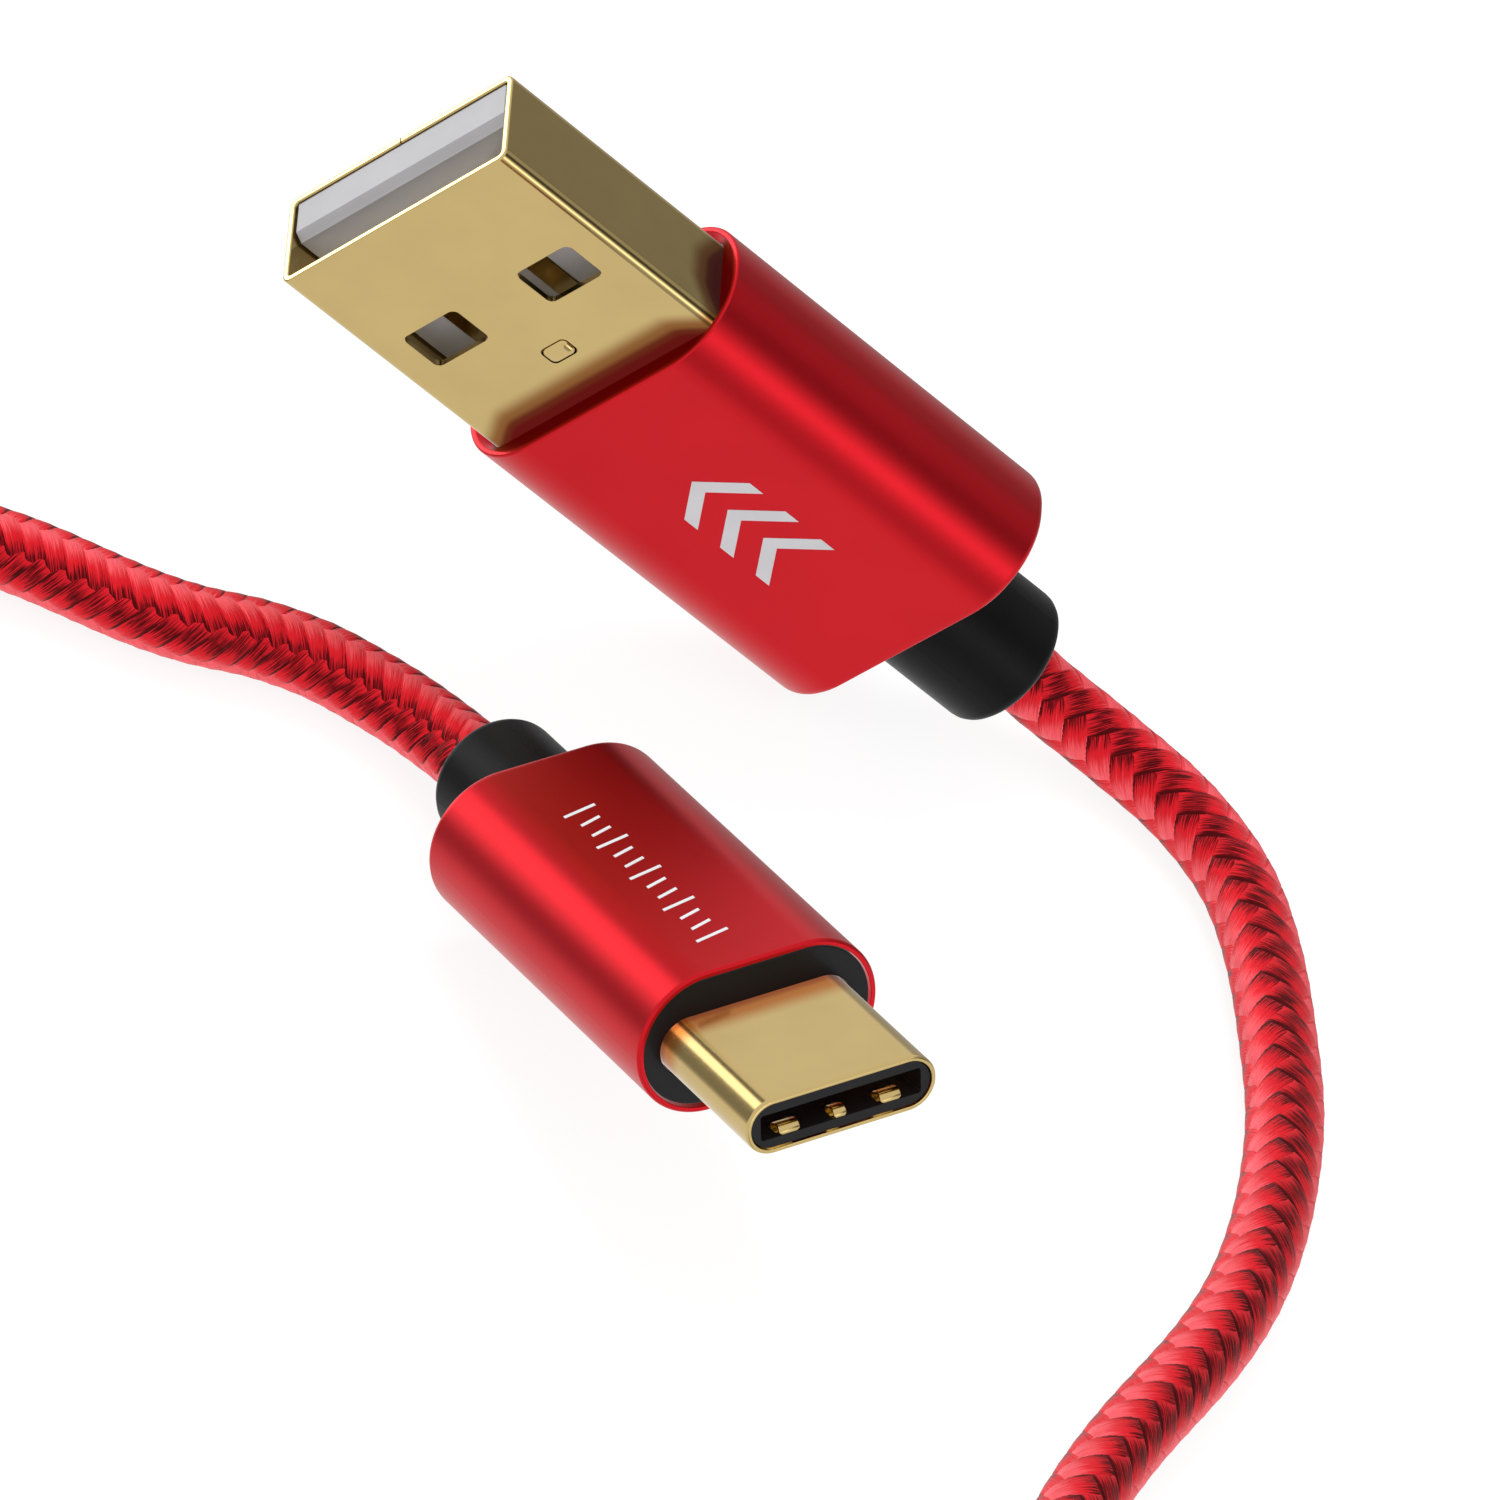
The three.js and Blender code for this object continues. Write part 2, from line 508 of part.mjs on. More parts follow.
function plugC() {
  const plug = new THREE.Group();
  plug.add(cShell(), cInsulator(), cContactBlock());
  plug.add(cGroundSpring('c_ground_spring_top', 1), cGroundSpring('c_ground_spring_bottom', -1));
  C_TOP_CONTACTS.forEach((x, k) => plug.add(cContact(`c_contact_top_${k + 1}`, x, 1)));
  C_BOTTOM_CONTACTS.forEach((x, k) => plug.add(cContact(`c_contact_bottom_${k + 1}`, x, -1)));
  plug.add(cLatch('c_latch_left', -1), cLatch('c_latch_right', 1));
  plug.add(cBoard(), cResistor(), cShieldCan(), cFrontPlate(), cHousing(), cMould());
  plug.add(clamp('c_cable_clamp', C_CLAMP), strainRelief('c_strain_relief', C_RELIEF));
  const wireZ = C_BOARD.t / 2 + WIRE_D / 2 + FIT;
  for (const lead of WIRES) {
    plug.add(wire(`c_wire_${lead.colour}`, lead, C_MOULD.rear - 0.1, [lead.c, C_SHELL.rear - GAP, wireZ]));
  }
  return plug;
}

// ---- cord, coil and tie -----------------------------------------------------

// Straight out of a plug's relief, then along a free route.
function cordStretch(name, plug, start, rear, route, steps) {
  const place = placeOf(plug);
  const inside = [start, rear + 2.5, rear].map((y) => new THREE.Vector3(0, y, 0).applyMatrix4(place));
  const points = [...inside, ...route.map((point) => new THREE.Vector3(...point))];
  return node(name, sweep(points, CORD_D, 8, steps), BRAID);
}

// Solid of the coiled turns: a ring with a notch under it where the tie passes.
function cordCoil() {
  const { at, radius, across, high } = COIL;
  const pitch = CORD_D + FIT;
  const [half, height] = [(across * pitch) / 2, high * pitch];
  const profile = [[radius - half, 0], [radius + half, 0], [radius + half, height], [radius - half, height],
    [radius - half, 0]].map(([x, y]) => new THREE.Vector2(x, y));
  const ring = new THREE.LatheGeometry(profile, 48).rotateX(Math.PI / 2);
  const notchDepth = TIE.thick + 0.15;
  const notch = box(-TIE.width / 2 - GAP, TIE.width / 2 + GAP, -radius - half - 1, -radius + half + 1, -1, notchDepth);
  return node('cord_coil', cut(ring, notch).translate(at[0], at[1], 0), BRAID);
}

// A closed path with rounded corners round the box from [x0, z0] to [x1, z1].
function roundedBox(x0, x1, z0, z1, r, PathClass = THREE.Shape) {
  return new PathClass(roundedRect(x1 - x0, z1 - z0, r).getPoints(4)
    .map(({ x, y }) => new THREE.Vector2(x + (x0 + x1) / 2, y + (z0 + z1) / 2)));
}

// Hook-and-loop strap wrapped once round the turns at the coil's near side.
function cableTie() {
  const { at, radius, across, high } = COIL;
  const { width, thick, corner } = TIE;
  const pitch = CORD_D + FIT;
  const [inner, outer] = [radius - (across * pitch) / 2, radius + (across * pitch) / 2];
  const near = Math.sqrt(inner ** 2 - (width / 2) ** 2) - GAP;
  const [far, top] = [outer + GAP, high * pitch + GAP];
  const band = roundedBox(-far - thick, -near + thick, 0, top + thick, corner);
  band.holes.push(roundedBox(-far, -near, thick, top, corner - thick, THREE.Path));
  // profile x -> y across the turns, profile y -> z, depth -> x
  const turn = new THREE.Matrix4().makeBasis(
    new THREE.Vector3(0, 1, 0), new THREE.Vector3(0, 0, 1), new THREE.Vector3(1, 0, 0));
  const strap = new THREE.ExtrudeGeometry(band, { depth: width, bevelEnabled: false });
  return node('cable_tie', strap.translate(0, 0, -width / 2).applyMatrix4(turn).translate(at[0], at[1], 0), STRAP);
}

// ---- assembly -------------------------------------------------------------

const cable = new THREE.Group();
for (const [build, place] of [[plugA, PLUG_A], [plugC, PLUG_C]]) {
  const plug = build();
  plug.applyMatrix4(placeOf(place));
  cable.add(plug);
}
cable.add(
  cordStretch('cord_a', PLUG_A, A_CORD_START, A_RELIEF.rear, ROUTE_A, 24),
  cordCoil(),
  cordStretch('cord_c', PLUG_C, C_CORD_START, C_RELIEF.rear, [...ROUTE_C].reverse(), 22),
  cableTie(),
);

export default cable;
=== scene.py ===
"""Looks of a USB-A to USB-C charging cable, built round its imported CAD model.

The pieces of a plug are drawn in millimetres in the plug's own frame: x across the plug, y out of
the mouth with the mouth at y = 0, z out of one broad face. They are then set down in the shared
frame, in metres. The cord is one line, and its braid is woven round that line strand by strand.
"""

import math

import bmesh
import bpy
import numpy as np
from mathutils import Matrix, Quaternion, Vector


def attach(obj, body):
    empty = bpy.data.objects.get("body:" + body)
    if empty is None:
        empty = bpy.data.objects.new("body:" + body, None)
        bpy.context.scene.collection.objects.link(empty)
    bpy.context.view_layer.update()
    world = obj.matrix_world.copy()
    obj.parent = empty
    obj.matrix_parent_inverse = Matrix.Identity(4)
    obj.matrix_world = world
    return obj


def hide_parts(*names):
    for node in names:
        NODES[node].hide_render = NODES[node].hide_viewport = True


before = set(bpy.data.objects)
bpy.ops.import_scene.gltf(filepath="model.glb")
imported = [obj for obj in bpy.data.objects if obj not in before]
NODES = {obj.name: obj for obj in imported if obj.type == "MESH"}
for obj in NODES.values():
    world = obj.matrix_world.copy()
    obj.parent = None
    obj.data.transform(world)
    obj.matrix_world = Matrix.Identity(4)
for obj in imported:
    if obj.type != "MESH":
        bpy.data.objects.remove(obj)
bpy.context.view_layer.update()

MM = 0.001
BODY = "cable"
QUARTER = math.pi / 2


class Plug:
    """A plug's own frame: mouth centre in millimetres, then heading, nose-up angle and roll."""

    def __init__(self, at, heading, nose_up, roll):
        self.at = Vector(at) * MM
        self.turn = (
            Matrix.Rotation(math.radians(heading - 90), 4, "Z")
            @ Matrix.Rotation(math.radians(nose_up), 4, "X")
            @ Matrix.Rotation(math.radians(roll), 4, "Y")
        )
        self.place = Matrix.Translation(self.at) @ self.turn @ Matrix.Scale(MM, 4)

    def millimetres(self, x, y, z):
        return tuple(self.place @ Vector((x, y, z)) / MM)


PLUG_A = Plug((-15.83, 8.3, 19.984), -157.5, 26.5, -99.5)
PLUG_C = Plug((16.4, -20.65, 12.65), -48, 20, 16)

# ---- camera -----------------------------------------------------------------

VIEW_CENTRE = Vector((6.95, 12.24, 0)) * MM
VIEW_DISTANCE = 567.2 * MM
VIEW_HEIGHT = 38
VIEW_ROLL = 28
LENS = 337.1


def add_camera():
    data = bpy.data.cameras.new("camera")
    data.sensor_fit = "HORIZONTAL"
    data.sensor_width = 36
    data.lens = LENS
    data.clip_start = 0.05
    data.clip_end = 60
    camera = bpy.data.objects.new("camera", data)
    bpy.context.scene.collection.objects.link(camera)
    height = math.radians(VIEW_HEIGHT)
    back = Vector((0, -math.cos(height), math.sin(height)))
    camera.location = VIEW_CENTRE + back * VIEW_DISTANCE
    camera.rotation_mode = "QUATERNION"
    roll = Quaternion((0, 0, 1), math.radians(VIEW_ROLL))
    camera.rotation_quaternion = (-back).to_track_quat("-Z", "Y") @ roll
    bpy.context.scene.camera = camera


# ---- node and material helpers ----------------------------------------------


def add(tree, kind, settings=None, **inputs):
    """A shader node with its properties and unlinked inputs set. An input's _ stands for a space."""
    made = tree.nodes.new(kind)
    for name, value in (settings or {}).items():
        setattr(made, name, value)
    for name, value in inputs.items():
        made.inputs[name.replace("_", " ")].default_value = value
    return made


def new_material(name):
    material = bpy.data.materials.new(name)
    material.use_nodes = True
    tree = material.node_tree
    return material, tree, tree.nodes["Principled BSDF"]


def own_space(tree, plug=None, stretch=(1, 1, 1)):
    """Object coordinates in millimetres, in the plug's own frame if there is one."""
    place = add(tree, "ShaderNodeTexCoord")
    turn = add(tree, "ShaderNodeMapping", {"vector_type": "TEXTURE"})
    turn.inputs["Scale"].default_value = [MM / s for s in stretch]
    if plug:
        turn.inputs["Location"].default_value = plug.at
        turn.inputs["Rotation"].default_value = plug.turn.to_euler("XYZ")
    tree.links.new(place.outputs["Object"], turn.inputs["Vector"])
    return turn.outputs["Vector"]


def noise(tree, vector, scale, detail=3.0, rough=0.55):
    made = add(tree, "ShaderNodeTexNoise", Scale=scale, Detail=detail, Roughness=rough)
    tree.links.new(vector, made.inputs["Vector"])
    return made.outputs["Fac"]


def spread(tree, value, low, high, start=0.3, end=0.7, kind="LINEAR"):
    made = add(tree, "ShaderNodeMapRange", {"interpolation_type": kind})
    for name, number in (("From Min", start), ("From Max", end), ("To Min", low), ("To Max", high)):
        made.inputs[name].default_value = number
    tree.links.new(value, made.inputs["Value"])
    return made.outputs["Result"]


def blend_colours(tree, factor, first, second):
    """first where factor is 0 and second where it is 1; each is a colour or a node's output."""
    made = add(tree, "ShaderNodeMix", {"data_type": "RGBA"})
    tree.links.new(factor, made.inputs["Factor"])
    for slot, colour in (("A", first), ("B", second)):
        socket = [s for s in made.inputs if s.name == slot and s.type == "RGBA"][0]
        if isinstance(colour, bpy.types.NodeSocket):
            tree.links.new(colour, socket)
        else:
            socket.default_value = (*colour, 1)
    return [s for s in made.outputs if s.type == "RGBA"][0]


def bump(tree, shader, height, depth, strength=1.0):
    """Raises the surface by up to depth millimetres where height is 1."""
    made = add(tree, "ShaderNodeBump", Strength=strength, Distance=depth * MM)
    tree.links.new(height, made.inputs["Height"])
    tree.links.new(made.outputs["Normal"], shader.inputs["Normal"])


def calculate(tree, operation, first, second=0.0):
    """One step of arithmetic on one or two values; each is a number or a node's output."""
    made = add(tree, "ShaderNodeMath", {"operation": operation})
    for socket, value in zip(made.inputs, (first, second)):
        if isinstance(value, bpy.types.NodeSocket):
            tree.links.new(value, socket)
        else:
            socket.default_value = value
    return made.outputs[0]


def tinted(colour, factor):
    return tuple(min(1.0, c * factor) for c in colour)


def finish_of(name, colour, rough, metal=0.0, plug=None, stretch=(1, 1, 1), grain=9.0, patch=0.35,
              shade=0.05, rough_span=0.04, depth=0.004, specular=0.5):
    """A finish whose colour varies in broad patches, and its gloss and height in fine grain."""
    material, tree, shader = new_material(name)
    space = own_space(tree, plug, stretch)
    fine = noise(tree, space, grain, 4.0)
    broad = noise(tree, own_space(tree, plug), patch, 2.0)
    patches = spread(tree, broad, 0, 1)
    colours = blend_colours(tree, patches, tinted(colour, 1 - shade), tinted(colour, 1 + shade))
    tree.links.new(colours, shader.inputs["Base Color"])
    tree.links.new(spread(tree, fine, rough - rough_span, rough + rough_span), shader.inputs["Roughness"])
    bump(tree, shader, fine, depth)
    shader.inputs["Metallic"].default_value = metal
    shader.inputs["Specular IOR Level"].default_value = specular
    return material


# ---- finishes -----------------------------------------------------------------

GOLD = (0.60, 0.445, 0.185)
RED = (0.62, 0.014, 0.022)
CORNER_REACH = 1.8              # how near to a shell's corner its painted root reflection starts to narrow
# Painted light: the tongue's paler colour deep in the shell, where little light reaches
DEEP_PAINTED_LIGHT = (0.85, 0.86, 0.90)
PAINTED_LIGHT_FROM = (-1.4, -0.35)       # painted light on the tongue: behind the first it is full, ahead of the second there is none


def gold_plate(name, plug=None, rough=0.13):
    return finish_of(name, GOLD, rough, 1.0, plug, (1, 0.25, 1), grain=14, shade=0.03,
                     rough_span=0.025, depth=0.0006)


def gold_with_painted_reflection(name, plug, root, half, taper, reflection_tints, rough=0.13):
    """Gold plate with a painted reflection of the housing near its root, at y = root, in the housing's
    mouth: there it turns darker and redder. The tints of the painted reflection are (distance from the
    root, colour). Towards the edges of the faces, which lie at half = (x, z), the band narrows by taper."""
    material = gold_plate(name, plug, rough)
    tree = material.node_tree
    shader = tree.nodes["Principled BSDF"]
    plain = shader.inputs["Base Color"].links[0].from_socket
    parts = add(tree, "ShaderNodeSeparateXYZ")
    tree.links.new(own_space(tree, plug), parts.inputs[0])
    off_centre = calculate(tree, "ADD", calculate(tree, "ABSOLUTE", parts.outputs["X"]),
                           calculate(tree, "ABSOLUTE", parts.outputs["Z"]))
    narrower = spread(tree, off_centre, 0, taper, sum(half) - CORNER_REACH, sum(half),
                      "SMOOTHSTEP")
    away = calculate(tree, "ADD", calculate(tree, "SUBTRACT", parts.outputs["Y"], root), narrower)
    # painted reflection of the housing: darkest at the root, blending out into the plain gold
    colour = reflection_tints[0][1]
    for (start, _), (end, following) in zip(reflection_tints, reflection_tints[1:]):
        passed = spread(tree, away, 0, 1, start, end, "SMOOTHSTEP")
        colour = blend_colours(tree, passed, colour, following or plain)
    tree.links.new(colour, shader.inputs["Base Color"])
    return material


def red_anodised(name, plug):
    return finish_of(name, RED, 0.33, 1.0, plug, grain=16, patch=0.12, shade=0.04,
                     rough_span=0.03, depth=0.0016)


def black_rubber(name, plug):
    return finish_of(name, (0.0045, 0.0045, 0.005), 0.36, 0.0, plug, grain=12, shade=0.15,
                     rough_span=0.05, depth=0.004, specular=0.09)


def black_plastic(name, plug):
    return finish_of(name, (0.0075, 0.0075, 0.009), 0.36, 0.0, plug, grain=10, shade=0.12,
                     rough_span=0.05, depth=0.002, specular=0.2)


def grey_plastic(name, plug):
    """Grey moulding, with painted light that makes it paler where it lies deep in the shell."""
    material = finish_of(name, (0.40, 0.40, 0.415), 0.45, 0.0, plug, (1, 0.3, 1), grain=7, shade=0.04,
                         depth=0.002)
    tree = material.node_tree
    shader = tree.nodes["Principled BSDF"]
    plain = shader.inputs["Base Color"].links[0].from_socket
    parts = add(tree, "ShaderNodeSeparateXYZ")
    tree.links.new(own_space(tree, plug), parts.inputs[0])
    # painted light, paler deep in the shell
    deep = spread(tree, parts.outputs["Y"], 1, 0, *PAINTED_LIGHT_FROM)
    tree.links.new(blend_colours(tree, deep, plain, DEEP_PAINTED_LIGHT), shader.inputs["Base Color"])
    return material


def natural_plastic(name, plug):
    return finish_of(name, (0.66, 0.63, 0.55), 0.5, 0.0, plug, grain=5, shade=0.05)


def sheet_steel(name, plug):
    return finish_of(name, (0.56, 0.57, 0.58), 0.28, 1.0, plug, (1, 0.15, 1), grain=12, shade=0.05,
                     depth=0.001)


def circuit_board(name, plug):
    return finish_of(name, (0.012, 0.16, 0.05), 0.4, 0.0, plug, grain=6, shade=0.2)


def ceramic(name, plug):
    return finish_of(name, (0.02, 0.02, 0.023), 0.45, 0.0, plug, grain=20, shade=0.2)


def wire_insulation(name, colour, plug):
    return finish_of(name, colour, 0.42, 0.0, plug, grain=6, shade=0.08, depth=0.003)


def printed_mark(name, plug):
    return finish_of(name, (0.62, 0.64, 0.66), 0.5, 0.0, plug, grain=14, shade=0.05, depth=0.002)


def strap_fabric(name):
    """Brushed nylon loop: matt, fuzzy and almost black."""
    material = finish_of(name, (0.012, 0.012, 0.014), 0.9, 0.0, None, grain=7, patch=1.2, shade=0.35,
                         depth=0.12, specular=0.2)
    shader = material.node_tree.nodes["Principled BSDF"]
    shader.inputs["Sheen Weight"].default_value = 0.35
    shader.inputs["Sheen Roughness"].default_value = 0.4
    return material


def braid_core_dye(name):
    return finish_of(name, (0.10, 0.002, 0.005), 0.7, 0.0, None, grain=5, shade=0.2, depth=0.02,
                     specular=0.1)


# The braid's colours: a painted highlight, the nylon's own red, and painted shade
BRAID_PAINTED_HIGHLIGHT = (1.0, 0.125, 0.15)
BRAID_RED = (0.74, 0.012, 0.022)
BRAID_PAINTED_SHADE = (0.075, 0.0005, 0.002)
PAINTED_HIGHLIGHT_TONE = (-1.1, 0.2)         # tones over which a float goes from painted highlight to its own red
PAINTED_SHADE_TONE = (0.42, 1.15)        # and from its own red to painted shade
STREAKS = 2.8                   # how far the filaments' noise shifts the tone
EDGE_SHADOW = 0.8               # how far the shadow along an edge shifts it


def braided_nylon(name):
    """Bundles of glossy filaments: each float runs from a painted highlight to painted shade, in ragged
    streaks, and has a painted shadow from its neighbour along one edge."""
    material, tree, shader = new_material(name)
    run = add(tree, "ShaderNodeUVMap", {"uv_map": "filaments"})
    stretch = add(tree, "ShaderNodeMapping")
    stretch.inputs["Scale"].default_value = (0.8, 22, 1)
    tree.links.new(run.outputs["UV"], stretch.inputs["Vector"])
    filament = noise(tree, stretch.outputs["Vector"], 1.0, 2.0, 0.6)
    # painted shade and highlight of each float, set on the mesh
    shaded = add(tree, "ShaderNodeAttribute", {"attribute_name": "shade"})
    streaks = calculate(tree, "MULTIPLY", calculate(tree, "SUBTRACT", filament, 0.5), STREAKS)
    tone = calculate(tree, "ADD", shaded.outputs["Fac"], streaks)
    edge = add(tree, "ShaderNodeAttribute", {"attribute_name": "edge"})
    shadow = spread(tree, edge.outputs["Fac"], 0, EDGE_SHADOW, 0.6, 1.0, "SMOOTHSTEP")
    tone = calculate(tree, "ADD", tone, shadow)
    pale = spread(tree, tone, 1, 0, *PAINTED_HIGHLIGHT_TONE, "SMOOTHSTEP")
    dark = spread(tree, tone, 0, 1, *PAINTED_SHADE_TONE, "SMOOTHSTEP")
    lit = blend_colours(tree, pale, BRAID_RED, BRAID_PAINTED_HIGHLIGHT)
    tree.links.new(blend_colours(tree, dark, lit, BRAID_PAINTED_SHADE), shader.inputs["Base Color"])
    tree.links.new(spread(tree, filament, 0.42, 0.3), shader.inputs["Roughness"])
    bump(tree, shader, filament, 0.03)
    shader.inputs["Metallic"].default_value = 0.6
    shader.inputs["Specular IOR Level"].default_value = 0.15
    shader.inputs["Anisotropic"].default_value = 0.6
    along = add(tree, "ShaderNodeTangent", {"direction_type": "UV_MAP", "uv_map": "filaments"})
    tree.links.new(along.outputs["Tangent"], shader.inputs["Tangent"])
    return material


# ---- mesh helpers ---------------------------------------------------------------


def outline(w, t, r, steps=12):
    """Points (x, z) round a rounded rectangle, w across and t thick."""
    points = []
    for corner, (sx, sz) in enumerate(((1, 1), (-1, 1), (-1, -1), (1, -1))):
        for k in range(steps + 1):
            angle = (corner + k / steps) * QUARTER
            x = sx * (w / 2 - r) + r * math.cos(angle)
            points.append((x, sz * (t / 2 - r) + r * math.sin(angle)))
    return points


def reach(p, q):
    """How far apart two sections are, along the plug and outwards."""
    d = np.abs(p - q)
    return math.hypot(d[0], max(d[1], d[2]) / 2)


def soften(sections, steps=5):
    """Closed run of sections (y, w, t, r, cut): a corner with a cut is rounded off that far back."""
    places = [np.array(s[:4], float) for s in sections]
    run = []
    for k, here in enumerate(places):
        cut = sections[k][4] if len(sections[k]) > 4 else 0
        if not cut:
            run.append(here)
            continue
        before, after = places[k - 1], places[(k + 1) % len(places)]
        a = here + (before - here) * min(0.5, cut / reach(before, here))
        b = here + (after - here) * min(0.5, cut / reach(after, here))
        for u in np.linspace(0, 1, steps + 1):
            run.append((1 - u) ** 2 * a + 2 * u * (1 - u) * here + u * u * b)
    return run


def skin(bm, rings, closed=False):
    """Faces between rings of points; the last ring meets the first, or both ends are capped."""
    verts = [[bm.verts.new(p) for p in ring] for ring in rings]
    count = len(rings[0])
    following = verts[1:] + ([verts[0]] if closed else [])
    for a, b in zip(verts, following):
        for k in range(count):
            bm.faces.new((a[k], a[(k + 1) % count], b[(k + 1) % count], b[k]))
    if not closed:
        bm.faces.new(verts[0][::-1])
        bm.faces.new(verts[-1])


def sleeve(bm, sections, steps=12):
    """A hollow body through a closed run of sections, down its outside and back up its inside."""
    rings = [[(x, y, z) for x, z in outline(w, t, r, steps)] for y, w, t, r in soften(sections)]
    skin(bm, rings, closed=True)


def ribbon(bm, line, out, x, widths, thick):
    """A strip of rounded section along points (y, z), with its outer face towards out."""
    rings = []
    for (y, z), (ny, nz), w in zip(line, out, widths):
        section = outline(w, thick, min(thick, w) * 0.35, 3)
        rings.append([(x + sx, y + ny * sz, z + nz * sz) for sx, sz in section])
    skin(bm, rings)


def to_mesh(bm, name, smooth_below=35):
    bmesh.ops.remove_doubles(bm, verts=bm.verts, dist=1e-4)
    bmesh.ops.recalc_face_normals(bm, faces=bm.faces)
    mesh = bpy.data.meshes.new(name)
    bm.to_mesh(mesh)
    bm.free()
    shade(mesh, smooth_below)
    return mesh


def shade(mesh, smooth_below=35):
    mesh.polygons.foreach_set("use_smooth", [True] * len(mesh.polygons))
    mesh.set_sharp_from_angle(angle=math.radians(smooth_below))


def show(name, mesh):
    obj = bpy.data.objects.new(name, mesh)
    bpy.context.scene.collection.objects.link(obj)
    return obj


def even_normals(obj):
    """Keeps broad faces flat beside their small rounded edges."""
    modifier = obj.modifiers.new("even normals", "WEIGHTED_NORMAL")
    modifier.keep_sharp = True
    modifier.weight = 60


def carve(obj, cutters):
    """Cuts the cutters out of obj, for good."""
    for cutter in cutters:
        modifier = obj.modifiers.new("cut", "BOOLEAN")
        modifier.operation = "DIFFERENCE"
        modifier.solver = "EXACT"
        modifier.object = cutter
    bpy.context.view_layer.update()
    graph = bpy.context.evaluated_depsgraph_get()
    cut = bpy.data.meshes.new_from_object(obj.evaluated_get(graph))
    obj.modifiers.clear()
    obj.data = cut
    obj.data.materials.clear()
    for cutter in cutters:
        bpy.data.objects.remove(cutter)
    shade(obj.data)


def set_down(obj, plug, material, slot, *nodes):
    """Carries a plug piece from the plug's frame to the shared one, and gives it its finish."""
    obj.data.transform(plug.place)
    keep(obj, material, slot, *nodes)


def unmirrored(obj):
    """Hides a piece from reflections, so that polished faces mirror the studio's cards and not it."""
    obj.visible_glossy = False


def keep(obj, material, slot, *nodes):
    obj.data.materials.clear()
    obj.data.materials.append(material)
    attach(obj, BODY)
    if nodes:
        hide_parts(*nodes)


# ---- the cord's line --------------------------------------------------------------

CORD_D = 3.45
A_CORD_INSIDE = (-25.2, -34.1, -36.6)      # places on the plug's axis, the last at the relief's end
C_CORD_INSIDE = (-28.4, -25.9, -19)

ROUTE_A = [
    (16.5, 21.3, 2.7), (18.65, 21.4, 2.12), (20.75, 21.1, 1.82), (22.9, 20.4, 1.74), (24.9, 19.25, 1.73),
    (26.8, 17.6, 1.73), (28.45, 15.3, 1.73), (30, 12.3, 1.73), (31.3, 9.2, 1.73), (32.5, 6, 1.73),
    (33.4, 2.4, 1.73), (34, -1.6, 1.73), (34.15, -6, 1.73), (33.6, -11, 1.73), (32.6, -16, 1.73),
    (31.8, -22, 1.73), (31.7, -29, 1.73), (32.4, -37, 1.73), (33.8, -45, 1.73), (35.6, -54, 1.73),
    (37, -62, 1.73), (37.7, -68, 1.73),
]
ROUTE_C = [
    (-9.7, -68, 4.4), (-10.1, -61, 2.6), (-11.6, -53, 1.8), (-15, -45, 1.73), (-20, -37.5, 1.73),
    (-25.6, -30.5, 1.73), (-30.2, -23, 1.73), (-32.3, -15.2, 1.73), (-31.3, -8.2, 1.73), (-27.3, -3.2, 1.73),
    (-22, -0.9, 1.73), (-17.2, -0.25, 1.73), (-14.2, 0.65, 1.73), (-12.6, 1.4, 1.73), (-11.1, 1.85, 1.73),
    (-9.5, 2.1, 1.74), (-7.9, 2.05, 1.76), (-6.2, 1.8, 1.86), (-4.6, 1.25, 2.06), (-3.05, 0.42, 2.4),
]

COIL_CENTRE = (14, -82)
ROWS = {"outer": 23.75, "middle": 20.25, "inner": 16.75}
LOW, HIGH = 1.75, 5.2
COIL_END = 1980
# The winding, as (degrees turned, radius, height): three rows on the floor from the outside in,
# then three rows on top of them from the inside out.
WINDING = [
    (0, "outer", LOW), (300, "outer", LOW), (360, "middle", LOW), (660, "middle", LOW),
    (720, "inner", LOW), (960, "inner", LOW), (1020, "inner", HIGH), (1260, "inner", HIGH),
    (1320, "middle", HIGH), (1620, "middle", HIGH), (1680, "outer", HIGH), (COIL_END, "outer", HIGH),
]
TIE_RISE = 0.85                            # how far the turns rise over the tie's lower run
TIE_AT = 90                                # degrees, the coil's near side


def ease(x):
    x = np.clip(x, 0, 1)
    return x * x * (3 - 2 * x)


def wound(turned):
    """Centre of the cord after so many degrees of winding, clockwise seen from above."""
    for (start, row_a, z_a), (end, row_b, z_b) in zip(WINDING, WINDING[1:]):
        if turned <= end:
            break
    share = float(ease((turned - start) / (end - start)))
    radius = ROWS[row_a] + (ROWS[row_b] - ROWS[row_a]) * share
    off_tie = abs((turned - TIE_AT + 180) % 360 - 180)
    z = z_a + (z_b - z_a) * share + TIE_RISE * float(ease((35 - off_tie) / 20))
    angle = math.radians(turned)
    return (COIL_CENTRE[0] + radius * math.cos(angle), COIL_CENTRE[1] - radius * math.sin(angle), z)


